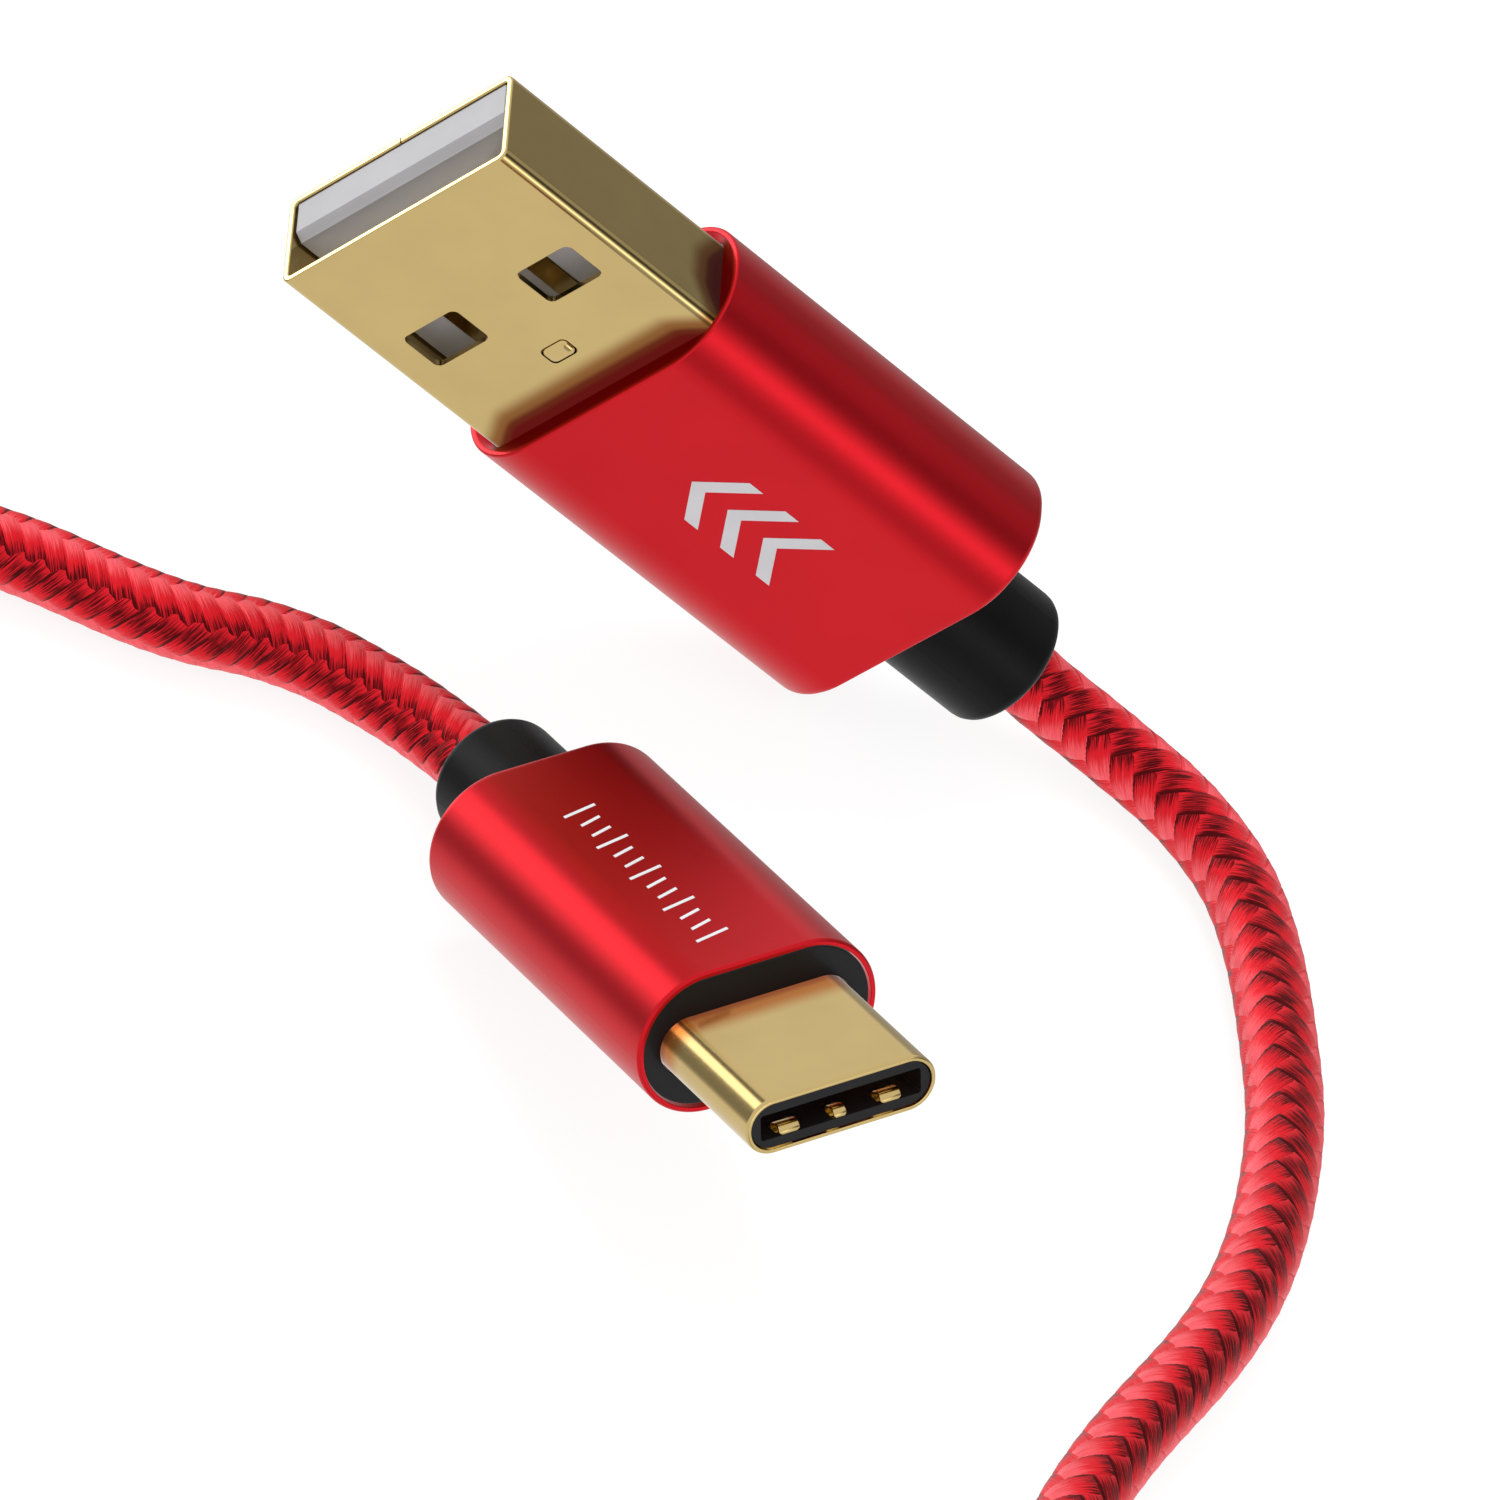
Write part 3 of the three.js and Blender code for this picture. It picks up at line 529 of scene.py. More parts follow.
def smooth_line(points, spacing):
    """A curve of continuous curvature through the points, as points an even spacing apart."""
    points = np.array(points, float)
    chord = np.linalg.norm(np.diff(points, axis=0), axis=1)
    knots = np.concatenate([[0], np.cumsum(chord)])
    count = len(points)
    system = np.eye(count)
    load = np.zeros_like(points)
    for k in range(1, count - 1):
        system[k, k - 1 : k + 2] = chord[k - 1], 2 * (chord[k - 1] + chord[k]), chord[k]
        ahead = (points[k + 1] - points[k]) / chord[k]
        load[k] = 6 * (ahead - (points[k] - points[k - 1]) / chord[k - 1])
    bend = np.linalg.solve(system, load)

    def place(t):
        k = np.clip(np.searchsorted(knots, t, side="right") - 1, 0, count - 2)
        h = chord[k][:, None]
        a = (knots[k + 1] - t)[:, None] / h
        b = 1 - a
        curve = ((a**3 - a) * bend[k] + (b**3 - b) * bend[k + 1]) * h * h / 6
        return a * points[k] + b * points[k + 1] + curve

    dense = np.linspace(0, knots[-1], 40 * count)
    steps = np.linalg.norm(np.diff(place(dense), axis=0), axis=1)
    travelled = np.concatenate([[0], np.cumsum(steps)])
    even = np.linspace(0, travelled[-1], max(2, int(round(travelled[-1] / spacing)) + 1))
    return place(np.interp(even, travelled, dense))


class Line:
    """The cord's centre line in millimetres, with a frame at each point that doesn't twist."""

    def __init__(self, points, spacing=0.4):
        self.points = smooth_line(points, spacing)
        steps = np.linalg.norm(np.diff(self.points, axis=0), axis=1)
        self.travelled = np.concatenate([[0], np.cumsum(steps)])
        self.length = self.travelled[-1]
        tangent = np.gradient(self.points, axis=0)
        tangent /= np.linalg.norm(tangent, axis=1)[:, None]
        side = np.cross(tangent[0], (0, 0, 1))
        sides = []
        for t in tangent:
            side = side - side.dot(t) * t
            side = side / np.linalg.norm(side)
            sides.append(side)
        self.side = np.array(sides)
        self.over = np.cross(tangent, self.side)

    def at(self, s, angle=0.0, radius=0.0):
        """Points at distance s along the line, out from it by radius at an angle round it."""

        def along(values):
            return np.stack([np.interp(s, self.travelled, column) for column in values.T], axis=-1)

        out = np.cos(angle)[..., None] * along(self.side) + np.sin(angle)[..., None] * along(self.over)
        return along(self.points) + np.asarray(radius)[..., None] * out

    def angles_of(self, direction):
        """At each point of the line, the angle round it at which a direction lies."""
        return np.unwrap(np.arctan2(self.over @ np.array(direction), self.side @ np.array(direction)))

    def nearest(self, point):
        """How far along the line the place nearest to a point is."""
        return self.travelled[np.argmin(np.linalg.norm(self.points - np.array(point), axis=1))]


def cord_line():
    start = [PLUG_A.millimetres(0, y, 0) for y in A_CORD_INSIDE]
    end = [PLUG_C.millimetres(0, y, 0) for y in C_CORD_INSIDE]
    coil = [wound(turned) for turned in range(0, COIL_END + 1, 10)]
    return Line([*start, *ROUTE_A, *coil, *ROUTE_C, *end])


# ---- braid ------------------------------------------------------------------------

STRANDS = 6                     # each way round
LAY_A, LAY_C = 8.6, 5.6         # length of cord in which a strand goes once round, at each end
BRAID_R = 1.47
WAVE = 0.055                    # how far a strand rises over and dips under the others
CROSSINGS = 3                   # waves in one turn: each strand goes over two and under two
SQUARENESS = 3.5
FULLNESS = 1.08                 # a strand's width as a share of its room
# A strand's section, as (across in half widths, out in millimetres)
FINE = [(-1, 0.03), (-0.8, 0.055), (0, 0.075), (0.8, 0.055), (1, 0.03), (0, -0.05)]
PLAIN = [(-1, 0.02), (0, 0.075), (1, 0.02)]
SEEN_FROM = Vector((0, -0.79, 0.61))   # side of the cord where the painted shade at the floats' ends meets
PAINTED_SHADE_SHIFT = {1: 0.1, -1: 1.15}        # how far past it the darkest painted shade lies in the wave, for each hand
NOISE_APART = 1.7                      # keeps the strands' filaments from looking alike


def part_way(line, s):
    """0 on the USB-A stretch, 1 on the USB-C stretch, and between the two on the coil."""
    return ease((s / line.length - 0.2) / 0.6)


def lay_at(line, s):
    """The braid's lay at s."""
    return LAY_A + (LAY_C - LAY_A) * part_way(line, s)


def turns_at(line, s):
    """How many turns a strand has made round the cord by s."""
    places = np.linspace(0, line.length, 4000)
    rates = 1 / lay_at(line, places)
    made = np.concatenate([[0], np.cumsum((rates[1:] + rates[:-1]) / 2 * np.diff(places))])
    return np.interp(s, places, made)


def meeting_angle(line, s):
    """Turns the weave so that two rows of floats meet on the side the cord is seen from: rows that
    point back to the plug in both stretches, so half a wave apart."""
    facing = np.interp(s, line.travelled, line.angles_of(SEEN_FROM))
    return facing + (1 - 2 * part_way(line, s)) * QUARTER / CROSSINGS


def strand(line, start, end, first_angle, hand, per_turn, section):
    """Vertices of one strand as an array, with each one's place along and across it, and its painted
    shade, from -1 for a painted highlight to 1 for the darkest painted shade."""
    s = np.linspace(start, end, int((end - start) / LAY_C * per_turn) + 1)
    wave = first_angle + hand * 2 * math.pi * turns_at(line, s)
    lift = hand * np.tanh(SQUARENESS * np.cos(CROSSINGS * wave)) / math.tanh(SQUARENESS)
    side = 2 * part_way(line, s) - 1
    # painted shade along each float, and painted highlight where it is below 0
    dark = side * np.sin(CROSSINGS * wave - side * PAINTED_SHADE_SHIFT[hand])
    angle = wave + meeting_angle(line, s)
    lay = lay_at(line, s)[:, None]
    lean = np.arctan(2 * math.pi * BRAID_R / lay)
    half = lay / STRANDS * np.sin(lean) / 2 * FULLNESS
    across, out = np.array(section).T
    across = across * half
    place_s = s[:, None] - hand * across * np.sin(lean)
    place_angle = angle[:, None] + across * np.cos(lean) / BRAID_R
    radius = BRAID_R + WAVE * lift[:, None] + out
    vertices = line.at(place_s, place_angle, radius)
    run = np.broadcast_to(s[:, None] / np.cos(lean), radius.shape)
    return vertices, run, across, np.broadcast_to(dark[:, None], radius.shape)


def grid_faces(rows, columns, first):
    """Quads of a tube of rows of columns vertices, and its two end caps."""
    k = np.arange(rows - 1)[:, None] * columns
    j = np.arange(columns)[None, :]
    turn = (j + 1) % columns
    quads = np.stack([k + j, k + turn, k + columns + turn, k + columns + j], axis=-1).reshape(-1, 4) + first
    last = first + (rows - 1) * columns
    caps = [list(range(first + columns - 1, first - 1, -1)), list(range(last, last + columns))]
    return quads.tolist() + caps


def weave(name, line, start, end, per_turn, section):
    """All the strands of a stretch of braid, as one mesh with its filament coordinates."""
    points, faces, runs, acrosses, shades = [], [], [], [], []
    total = 0
    for hand in (1, -1):
        for k in range(STRANDS):
            first_angle = 2 * math.pi * (k + (0.5 if hand < 0 else 0)) / STRANDS
            vertices, run, across, dark = strand(line, start, end, first_angle, hand, per_turn, section)
            rows, columns = run.shape
            faces += grid_faces(rows, columns, total)
            total += rows * columns
            points.append(vertices.reshape(-1, 3))
            runs.append(run.ravel())
            acrosses.append((across + NOISE_APART * (k + 1) * (hand + 2)).ravel())
            shades.append(dark.ravel())
    mesh = bpy.data.meshes.new(name)
    mesh.from_pydata((np.concatenate(points) * MM).tolist(), [], faces)
    corner = np.zeros(len(mesh.loops), np.int32)
    mesh.loops.foreach_get("vertex_index", corner)
    filaments = np.stack([np.concatenate(runs)[corner], np.concatenate(acrosses)[corner]], axis=-1)
    mesh.uv_layers.new(name="filaments").data.foreach_set("uv", filaments.astype(np.float32).ravel())
    shaded = mesh.attributes.new("shade", "FLOAT", "POINT")
    shaded.data.foreach_set("value", np.concatenate(shades).astype(np.float32))
    edges = mesh.attributes.new("edge", "FLOAT", "POINT")
    places = np.array(section)[:, 0]
    edges.data.foreach_set("value", np.resize(places, len(mesh.vertices)).astype(np.float32))
    shade(mesh, 70)
    return show(name, mesh)


CORE_R = 1.4
CORE_SIDES = 12
CORE_STEP = 2.0


def cord_core(line):
    """The jacket under the braid, and the line it follows."""
    s = np.linspace(0, line.length, int(line.length / CORE_STEP) + 1)
    angles = np.linspace(0, 2 * math.pi, CORE_SIDES, endpoint=False)
    places, turned = np.meshgrid(s, angles, indexing="ij")
    rings = line.at(places, turned, np.full(places.shape, CORE_R))
    mesh = bpy.data.meshes.new("cord_core")
    mesh.from_pydata((rings.reshape(-1, 3) * MM).tolist(), [], grid_faces(len(s), CORE_SIDES, 0))
    shade(mesh, 50)
    centres = line.at(s, 0 * s, 0 * s) * MM
    return show("cord_core", mesh), [tuple(p) for p in centres]


def make_cord():
    line = cord_line()
    coil_start = line.nearest(ROUTE_A[-1])
    coil_end = line.nearest(ROUTE_C[0])
    nylon = braided_nylon("red_braid")
    core, centres = cord_core(line)
    keep(core, braid_core_dye("red_braid_core"), "red_braid", "cord_a", "cord_coil", "cord_c")
    stretches = [
        weave("braid_a", line, 0, coil_start, 32, FINE),
        weave("braid_coil", line, coil_start, coil_end, 16, PLAIN),
        weave("braid_c", line, coil_end, line.length, 32, FINE),
    ]
    for stretch in stretches:
        keep(stretch, nylon, "red_braid")
        unmirrored(stretch)
    unmirrored(core)


# ---- the coil's tie -----------------------------------------------------------------

TIE_WIDTH, TIE_THICK = 8, 0.8
TIE_SPAN = (-107.8, -96.16)     # inside of the strap, across the turns
TIE_HEIGHT = (0.8, 7.9)         # inside of the strap, up
TIE_CORNER = 1.6
TIE_LAP = 1.3                   # turns of the strap round the cord, so that its end overlaps
TIE_CLIMB = (0.82, 0.2)         # where in its first turn it starts to climb on itself, and for how long


def make_tie():
    """A hook-and-loop strap wound once round the coil's near side, its end lapped over the top."""
    near, far = TIE_SPAN[1], TIE_SPAN[0]
    low, high = TIE_HEIGHT
    half = TIE_THICK / 2
    steps = 8
    corner = TIE_CORNER - half
    loop = outline(near - far + TIE_THICK, high - low + TIE_THICK, corner, steps)
    middle = ((near + far) / 2, (low + high) / 2)
    outward = [(c + k / steps) * QUARTER for c in range(4) for k in range(steps + 1)]
    count = len(loop)
    climb_from, climb_for = TIE_CLIMB
    line, out = [], []
    for k in range(int(count * TIE_LAP)):
        angle = outward[k % count]
        lap = TIE_THICK * 1.03 * float(ease((k / count - climb_from) / climb_for))
        y, z = loop[k % count]
        line.append((middle[0] + y + lap * math.cos(angle), middle[1] + z + lap * math.sin(angle)))
        out.append((math.cos(angle), math.sin(angle)))
    widths = [TIE_WIDTH] * len(line)
    widths[-1] = TIE_WIDTH - 1.0
    bm = bmesh.new()
    ribbon(bm, line, out, COIL_CENTRE[0], widths, TIE_THICK)
    mesh = to_mesh(bm, "coil_tie")
    mesh.transform(Matrix.Scale(MM, 4))
    keep(show("coil_tie", mesh), strap_fabric("black_strap"), "black_strap", "cable_tie")


# ---- USB-A plug ---------------------------------------------------------------------

A_SHELL = {"w": 12, "t": 4.5, "r": 0.45, "wall": 0.3, "rear": -18.5}
A_HOUSING = {"w": 14.4, "t": 7.1, "r": 3.4, "front": -12.1, "rear": -30.7}
A_WINDOW = {"w": 2.8, "len": 2.15, "r": 0.3, "x": 3.03, "y": -6.38}
A_SEAM = 0.07                   # butt joint of the rolled shell
A_TAB = {"w": 1.35, "front": -9.2, "rear": -10.2}
A_TAB_PROFILE = [(0.05, -0.25), (0.05, -0.04), (0.1, 0.05), (0.2, 0.11), (0.34, 0.14)]  # (inset, height)
A_RELIEF = {"d": 6.2, "flange": (11, 5.4), "front": -27.8, "step": -29.8, "rear": -36.6, "fillet": 0.55}
# Painted reflection of the housing near the USB-A shell's root: dark maroon, then brown, then plain gold
A_ROOT_PAINTED_REFLECTION = [(0.0, (0.13, 0.004, 0.003)), (0.35, (0.14, 0.02, 0.006)), (0.75, (0.27, 0.11, 0.03)),
                (1.7, None)]


def window_cutter(x, y, w, length, r, half_t):
    """A rounded hole right through both broad faces, with its outer edges broken."""
    edge = 0.025
    rings = []
    for z, more in ((-half_t - 1, edge), (-half_t, edge), (-half_t + edge, 0), (half_t - edge, 0),
                    (half_t, edge), (half_t + 1, edge)):
        around = outline(w + 2 * more, length + 2 * more, r + more, 6)
        rings.append([(x + px, y + py, z) for px, py in around])
    bm = bmesh.new()
    skin(bm, rings)
    return show("cutter", to_mesh(bm, "cutter"))


def box_cutter(x0, x1, y0, y1, z0, z1):
    bm = bmesh.new()
    rings = [[(x0, y0, z), (x1, y0, z), (x1, y1, z), (x0, y1, z)] for z in (z0, z1)]
    skin(bm, rings)
    return show("cutter", to_mesh(bm, "cutter"))


def make_a_shell():
    w, t, r, wall, rear = A_SHELL.values()
    inner = (w - 2 * wall, t - 2 * wall, r - wall + 0.05)
    bm = bmesh.new()
    sleeve(bm, [(rear, w, t, r, 0.06), (0, w, t, r, 0.09), (0, *inner, 0.07), (rear, *inner, 0.06)])
    shell = show("a_shell_fine", to_mesh(bm, "a_shell_fine"))
    cutters = [window_cutter(side * A_WINDOW["x"], A_WINDOW["y"], A_WINDOW["w"], A_WINDOW["len"],
                             A_WINDOW["r"], t / 2) for side in (-1, 1)]
    cutters.append(box_cutter(-A_SEAM / 2, A_SEAM / 2, rear - 1, 1, -t, -t / 2 + wall + 0.1))
    tab_y = (A_TAB["front"] + A_TAB["rear"]) / 2
    tab_len = A_TAB["front"] - A_TAB["rear"]
    hole = window_cutter(0, tab_y, A_TAB["w"], tab_len, 0.26, t / 2)
    hole.data.transform(Matrix.Translation((0, 0, t / 2 + 0.5)))
    cutters.append(hole)
    carve(shell, cutters)
    add_tab(shell.data, t / 2)
    even_normals(shell)
    gold = gold_with_painted_reflection("gold_shell_a", PLUG_A, A_HOUSING["front"], (w / 2, t / 2), 0.9, A_ROOT_PAINTED_REFLECTION)
    set_down(shell, PLUG_A, gold, "gold_plate", "a_shell")


def add_tab(mesh, face):
    """The pressed tab that holds the shell's block: a low pillow in its slot."""
    middle = (A_TAB["front"] + A_TAB["rear"]) / 2
    length = A_TAB["front"] - A_TAB["rear"]
    bm = bmesh.new()
    bm.from_mesh(mesh)
    rings = []
    for inset, z in A_TAB_PROFILE:
        around = outline(A_TAB["w"] - 2 * inset, length - 2 * inset, 0.3 - 0.6 * inset, 6)
        rings.append([(x, middle + y, face + z) for x, y in around])
    skin(bm, rings)
    bmesh.ops.recalc_face_normals(bm, faces=bm.faces)
    bm.to_mesh(mesh)
    bm.free()
    shade(mesh)


def normals_of(line):
    """Outward directions, as (y, z), along a run of points (y, z)."""
    tangent = np.gradient(line, axis=0)
    tangent /= np.linalg.norm(tangent, axis=1)[:, None]
    return np.stack([-tangent[:, 1], tangent[:, 0]], axis=-1)


def make_a_housing():
    """Aluminium sleeve, dished round the shell at its mouth and closed round the relief behind."""
    w, t, r, front, rear = A_HOUSING.values()
    bore = (A_SHELL["w"] + 0.04, A_SHELL["t"] + 0.04, 0.47)
    cavity = (w - 1.2, t - 1.2, r - 0.6)
    hole = (6.3, 6.3, 3.149)
    bm = bmesh.new()
    sleeve(bm, [
        (rear, w, t, r, 0.38), (front, w, t, r, 0.1),
        (front, w - 0.5, t - 0.5, r - 0.25, 0.1), (front - 0.3, *bore, 0.06),
        (-19.3, *bore), (-19.3, *cavity), (rear + 0.7, *cavity), (rear + 0.7, *hole),
        (rear, *hole, 0.08),
    ], steps=24)
    housing = show("a_housing_fine", to_mesh(bm, "a_housing_fine"))
    even_normals(housing)
    set_down(housing, PLUG_A, red_anodised("red_anodised_a", PLUG_A), "red_anodised", "a_housing")
    unmirrored(housing)


def make_relief(name, plug, sizes, node):
    """Moulded boot: a flange held in the housing, a round body, and a snug hole for the cord."""
    d, flange, front, step, rear, fillet = sizes.values()
    body = (d, d, d / 2 - 0.005)
    snug = (CORD_D + 0.08, CORD_D + 0.08, CORD_D / 2 + 0.035)
    loose = (CORD_D + 0.6, CORD_D + 0.6, CORD_D / 2 + 0.295)
    bm = bmesh.new()
    sleeve(bm, [
        (front, *flange, flange[1] / 2 - 0.1, 0.15), (front, *loose), (rear + 1.6, *loose),
        (rear + 1.1, *snug), (rear, *snug, 0.14), (rear, *body, fillet),
        (step, *body), (step, *flange, flange[1] / 2 - 0.1, 0.15),
    ], steps=20)
    boot = show(name, to_mesh(bm, name))
    even_normals(boot)
    set_down(boot, plug, black_rubber(name + "_rubber", plug), "black_rubber", node)
    unmirrored(boot)


# ---- USB-C plug ---------------------------------------------------------------------

C_SHELL = {"w": 8.25, "t": 2.4, "r": 1.19, "wall": 0.2, "rear": -12.5}
C_HOUSING = {"w": 10.45, "t": 6.2, "r": 3.09, "front": -6.65, "rear": -24.1, "wall": 0.26}
C_PLATE = {"w": 9.86, "t": 5.46, "r": 2.7, "front": -6.78, "rear": -8.5}
C_RELIEF = {"d": 5.5, "flange": (9, 5.3), "front": -21.1, "step": -23.3, "rear": -28.4, "fillet": 0.45}
C_SPRING = {"w": 5.6, "front": -0.9, "rear": -3.4, "thick": 0.11}
C_PADS = [(-2.2, 0.9), (0, 0.55), (2.2, 0.9)]     # (x, width)
C_PAD_STEP = 0.03
C_TOP_SPRING_BACK = 0.35        # keeps the upper pads out of sight in the mouth
# Painted reflection of the housing near the USB-C shell's root: orange-brown, then plain gold
C_ROOT_PAINTED_REFLECTION = [(0.0, (0.30, 0.07, 0.012)), (0.4, (0.46, 0.16, 0.03)), (1.5, None)]


def make_c_shell():
    w, t, r, wall, rear = C_SHELL.values()
    inner = (w - 2 * wall, t - 2 * wall, r - wall)
    bm = bmesh.new()
    sleeve(bm, [
        (rear, w, t, r, 0.04), (0, w, t, r, 0.17), (0, *inner, 0.03), (rear, *inner, 0.04),
    ], steps=20)
    shell = show("c_shell_fine", to_mesh(bm, "c_shell_fine", 50))
    even_normals(shell)
    gold = gold_with_painted_reflection("gold_shell_c", PLUG_C, C_PLATE["front"], (w / 2, t / 2), 0, C_ROOT_PAINTED_REFLECTION, 0.15)
    set_down(shell, PLUG_C, gold, "gold_plate", "c_shell")


def make_c_plate():
    w, t, r, front, rear = C_PLATE.values()
    hole = (C_SHELL["w"] + 0.1, C_SHELL["t"] + 0.1, C_SHELL["r"] + 0.05)
    bm = bmesh.new()
    sleeve(bm, [(rear, w, t, r), (front, w, t, r, 0.06), (front, *hole, 0.06), (rear, *hole)], steps=20)
    plate = show("c_front_plate_fine", to_mesh(bm, "c_front_plate_fine"))
    even_normals(plate)
    set_down(plate, PLUG_C, black_plastic("black_plate", PLUG_C), "black_plastic", "c_front_plate")
    unmirrored(plate)


def make_c_housing():
    w, t, r, front, rear, wall = C_HOUSING.values()
    inner = (w - 2 * wall, t - 2 * wall, r - wall)
    hole = (5.6, 5.6, 2.799)
    bm = bmesh.new()
    sleeve(bm, [
        (rear, w, t, r, 0.3), (front - 0.1, w, t, r, 0.04), (front, w - 0.16, t - 0.16, r - 0.08, 0.04),
        (front, *inner, 0.04), (rear + 0.7, *inner), (rear + 0.7, *hole), (rear, *hole, 0.08),
    ], steps=24)
    housing = show("c_housing_fine", to_mesh(bm, "c_housing_fine", 30))
    even_normals(housing)
    set_down(housing, PLUG_C, red_anodised("red_anodised_c", PLUG_C), "red_anodised", "c_housing")
    unmirrored(housing)


def make_ground_spring(side, back, name, node):
    """A thin sheet under the shell with three rounded contact pads that rise into the mouth, set
    back from it by a little."""
    seat = C_SHELL["t"] / 2 - C_SHELL["wall"] - 0.1
    w, front, rear, thick = C_SPRING.values()
    sheet = np.array([(rear, seat), (front, seat)])
    shape = [(0, -1.25, seat), (0, -1.0, seat - 0.1), (0, -0.8, 0.42), (0, -0.6, 0.3),
             (0, -0.3, 0.3), (0, -0.2, 0.42), (0, -0.19, 0.62)]
    finger = smooth_line(shape, C_PAD_STEP)[:, 1:] - (back, 0)
    from_tip = C_PAD_STEP * np.arange(len(finger))[::-1]
    narrowing = 1 - 0.45 * ease((0.2 - from_tip) / 0.2) ** 2
    bm = bmesh.new()
    ribbon(bm, sheet, normals_of(sheet), 0, [w, w], thick)
    for x, pad_width in C_PADS:
        ribbon(bm, finger, normals_of(finger), x, pad_width * narrowing, thick)
    spring = show(name, to_mesh(bm, name, 50))
    spring.data.transform(Matrix.Diagonal((1, 1, side, 1)))
    if side < 0:
        spring.data.flip_normals()
    set_down(spring, PLUG_C, gold_plate(name + "_gold", PLUG_C, 0.2), "gold_plate", node)


# ---- printed marks ------------------------------------------------------------------

PRINT_THICK = 0.012
CHEVRONS = {"count": 3, "first": -17.7, "pitch": 2.15, "half": 1.75, "drop": 1.5, "deep": 0.806}
BARS = {"count": 13, "first": -8.9, "pitch": 0.9, "middle": 0.65, "slant": 0.28, "wide": 0.17,
        "short": 0.95, "long": 1.5}


def raise_shapes(name, shapes, face, plug, slot):
    """Flat printed shapes, given as lists of (x, y), standing a hair's breadth off a broad face."""
    bm = bmesh.new()
    for shape in shapes:
        skin(bm, [[(x, y, z) for x, y in shape] for z in (face - 0.01, face + PRINT_THICK)])
    mark = show(name, to_mesh(bm, name))
    set_down(mark, plug, printed_mark(name + "_ink", plug), slot)


def make_marks():
    """Plain marks: chevrons that point to the USB-A mouth, and a row of bars on the USB-C side."""
    count, first, pitch, half, drop, deep = CHEVRONS.values()
    chevrons = []
    for k in range(count):
        tip = first - k * pitch
        chevrons.append([(0, tip), (half, tip - drop), (half, tip - drop - deep), (0, tip - deep),
                         (-half, tip - drop - deep), (-half, tip - drop)])
    raise_shapes("a_mark", chevrons, A_HOUSING["t"] / 2, PLUG_A, "grey_plastic")
    count, first, pitch, middle, slant, wide, short, tall = BARS.values()
    bars = []
    for k in range(count):
        y = first - k * pitch
        reach_x = (short if k % 3 else tall) / 2
        left, right = middle - reach_x, middle + reach_x
        low, high = y - slant / 2, y + slant / 2
        bars.append([(left, low), (right, high), (right, high - wide), (left, low - wide)])
    raise_shapes("c_mark", bars, C_HOUSING["t"] / 2, PLUG_C, "grey_plastic")


# ---- CAD pieces that stay -----------------------------------------------------------

WIRES = {"red": (0.42, 0.012, 0.015), "white": (0.78, 0.76, 0.72), "green": (0.02, 0.26, 0.07),
         "black": (0.012, 0.012, 0.012)}


def break_edges(node, width):
    """Welds a CAD mesh's split corners and rounds its sharp edges by width millimetres."""
    obj = NODES[node]
    weld = obj.modifiers.new("weld", "WELD")
    weld.merge_threshold = 0.002 * MM
    bevel = obj.modifiers.new("edges", "BEVEL")
    bevel.width = width * MM
    bevel.segments = 2
    bevel.limit_method = "ANGLE"
    bevel.angle_limit = math.radians(40)


def coat(node, material, mirrored=False):
    """Gives a CAD piece its finish. Reflections show the piece only if it is mirrored."""
    for slot in NODES[node].material_slots:
        slot.material = material
    NODES[node].visible_glossy = mirrored


def coat_cad_pieces():
    for letter, plug in (("a", PLUG_A), ("c", PLUG_C)):
        coat(f"{letter}_inner_mould", natural_plastic(f"natural_plastic_{letter}", plug))
        coat(f"{letter}_cable_clamp", sheet_steel(f"clamp_steel_{letter}", plug))
        for colour, value in WIRES.items():
            coat(f"{letter}_wire_{colour}", wire_insulation(f"insulation_{colour}_{letter}", value, plug))
    coat("a_tongue", grey_plastic("grey_tongue", PLUG_A), mirrored=True)
    coat("c_insulator", black_plastic("black_insulator", PLUG_C))
    coat("c_contact_block", black_plastic("black_block", PLUG_C))
    coat("c_board", circuit_board("board_mask", PLUG_C))
    coat("c_resistor", ceramic("resistor_body", PLUG_C))
    coat("c_shield_can", sheet_steel("can_steel", PLUG_C))
    latch_steel = sheet_steel("latch_steel", PLUG_C)
    contact_gold = {
        "a": gold_plate("contact_gold_a", PLUG_A, 0.18),
        "c": gold_plate("contact_gold_c", PLUG_C, 0.18),
    }
    for node in NODES:
        if "_contact_" in node and node != "c_contact_block":
            coat(node, contact_gold[node[0]])
        if node.startswith("c_latch"):
            coat(node, latch_steel)
            break_edges(node, 0.03)
    break_edges("a_tongue", 0.05)
    break_edges("c_insulator", 0.03)


# ---- stage --------------------------------------------------------------------------

FLOOR_HALF = 12                 # metres
FLOOR_GREY = 0.16
FLOOR_GLOW = 0.88
KEY = {"size": 0.5, "power": 4.0, "away": 0.9}
KEY_SIDE = (-0.35, 0.35, 0.87)
WORLD_LEVEL = 1.0               # what the camera and matt surfaces see
GLOSS_LEVEL = 0.95              # what polished surfaces see between the cards
# What polished surfaces see: soft cards, as (direction, full within, gone beyond, brightness),
# angles in degrees, the later ones laid over the earlier ones.
CARDS = [
    ((0.66, 0.55, 0.45), 26, 40, 0.45),
    ((0.50, 0.80, 0.32), 6, 14, 0.22),
    ((0.20, 0.95, -0.10), 20, 35, 0.45),
    ((0.90, -0.05, 0.40), 8, 18, 0.08),
    ((0.88, -0.44, 0.06), 4, 9, 2.6),
    ((0.70, -0.60, -0.38), 6, 18, 0.45),
    ((-0.75, 0.56, 0.34), 3, 9, 0.2),
    ((-0.97, 0.10, -0.22), 10, 26, 0.3),
    ((-0.90, 0.38, 0.20), 5, 14, 2.4),
    ((-0.90, 0.41, -0.13), 5, 11, 5.0),
]


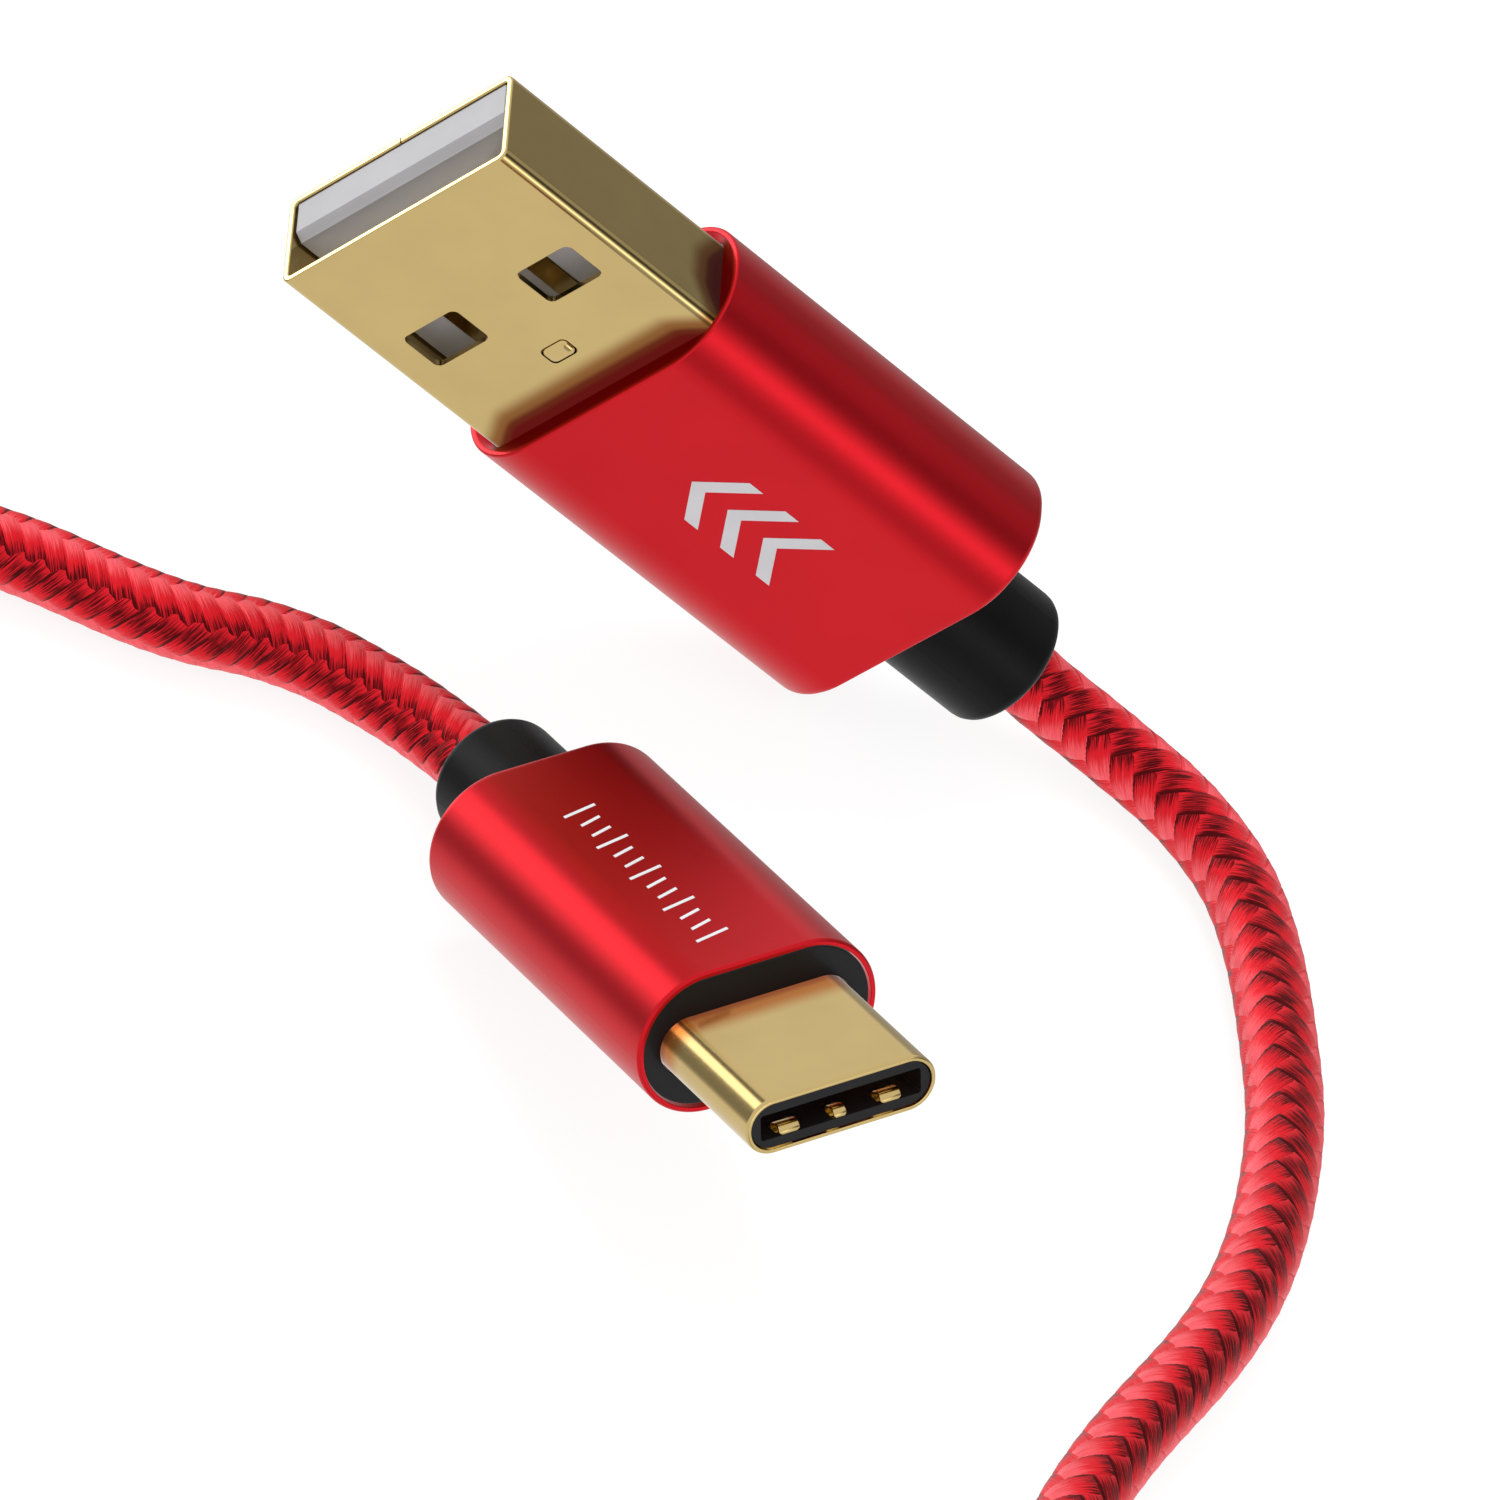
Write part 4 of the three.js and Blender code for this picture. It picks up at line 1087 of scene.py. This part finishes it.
def studio_world():
    """Even white light for matt surfaces, and soft light and dark cards for polished ones."""
    world = bpy.data.worlds.new("studio")
    bpy.context.scene.world = world
    world.use_nodes = True
    tree = world.node_tree
    sky = tree.nodes["Background"]
    place = add(tree, "ShaderNodeTexCoord")
    path = add(tree, "ShaderNodeLightPath")
    level = (GLOSS_LEVEL,) * 3
    for direction, full, gone, bright in CARDS:
        towards = add(tree, "ShaderNodeVectorMath", {"operation": "DOT_PRODUCT"})
        tree.links.new(place.outputs["Generated"], towards.inputs[0])
        towards.inputs[1].default_value = Vector(direction).normalized()
        near = spread(tree, towards.outputs["Value"], 0, 1, math.cos(math.radians(gone)),
                      math.cos(math.radians(full)), "SMOOTHSTEP")
        level = blend_colours(tree, near, level, (bright,) * 3)
    seen = blend_colours(tree, path.outputs["Is Glossy Ray"], (WORLD_LEVEL,) * 3, level)
    tree.links.new(seen, sky.inputs["Color"])


def add_floor():
    bm = bmesh.new()
    corners = [(x * FLOOR_HALF, y * FLOOR_HALF, 0) for x, y in ((-1, -1), (1, -1), (1, 1), (-1, 1))]
    bm.faces.new([bm.verts.new(c) for c in corners])
    floor = show("floor", to_mesh(bm, "floor"))
    material, _, shader = new_material("floor_paper")
    shader.inputs["Base Color"].default_value = (FLOOR_GREY, FLOOR_GREY, FLOOR_GREY, 1)
    shader.inputs["Roughness"].default_value = 0.9
    shader.inputs["Specular IOR Level"].default_value = 0.0
    shader.inputs["Emission Color"].default_value = (1, 1, 1, 1)
    shader.inputs["Emission Strength"].default_value = FLOOR_GLOW
    floor.data.materials.append(material)
    floor.visible_glossy = False


def add_key_light():
    """A broad soft light from above and behind, which gives the matt surfaces their shape."""
    data = bpy.data.lights.new("key", "AREA")
    data.shape = "DISK"
    data.size = KEY["size"]
    data.energy = KEY["power"]
    light = bpy.data.objects.new("key", data)
    towards = Vector(KEY_SIDE).normalized()
    light.location = towards * KEY["away"]
    light.rotation_mode = "QUATERNION"
    light.rotation_quaternion = (-towards).to_track_quat("-Z", "Y")
    light.visible_glossy = False
    bpy.context.scene.collection.objects.link(light)


def set_stage():
    studio_world()
    add_floor()
    add_key_light()
    bpy.context.scene.view_settings.view_transform = "Standard"
    bpy.context.scene.view_settings.look = "None"


# ---- the object ---------------------------------------------------------------------

add_camera()
make_cord()
make_tie()
make_a_shell()
make_a_housing()
make_relief("a_relief_fine", PLUG_A, A_RELIEF, "a_strain_relief")
make_c_shell()
make_c_plate()
make_c_housing()
make_relief("c_relief_fine", PLUG_C, C_RELIEF, "c_strain_relief")
make_ground_spring(1, C_TOP_SPRING_BACK, "c_spring_top_fine", "c_ground_spring_top")
make_ground_spring(-1, 0, "c_spring_bottom_fine", "c_ground_spring_bottom")
make_marks()
coat_cad_pieces()
set_stage()
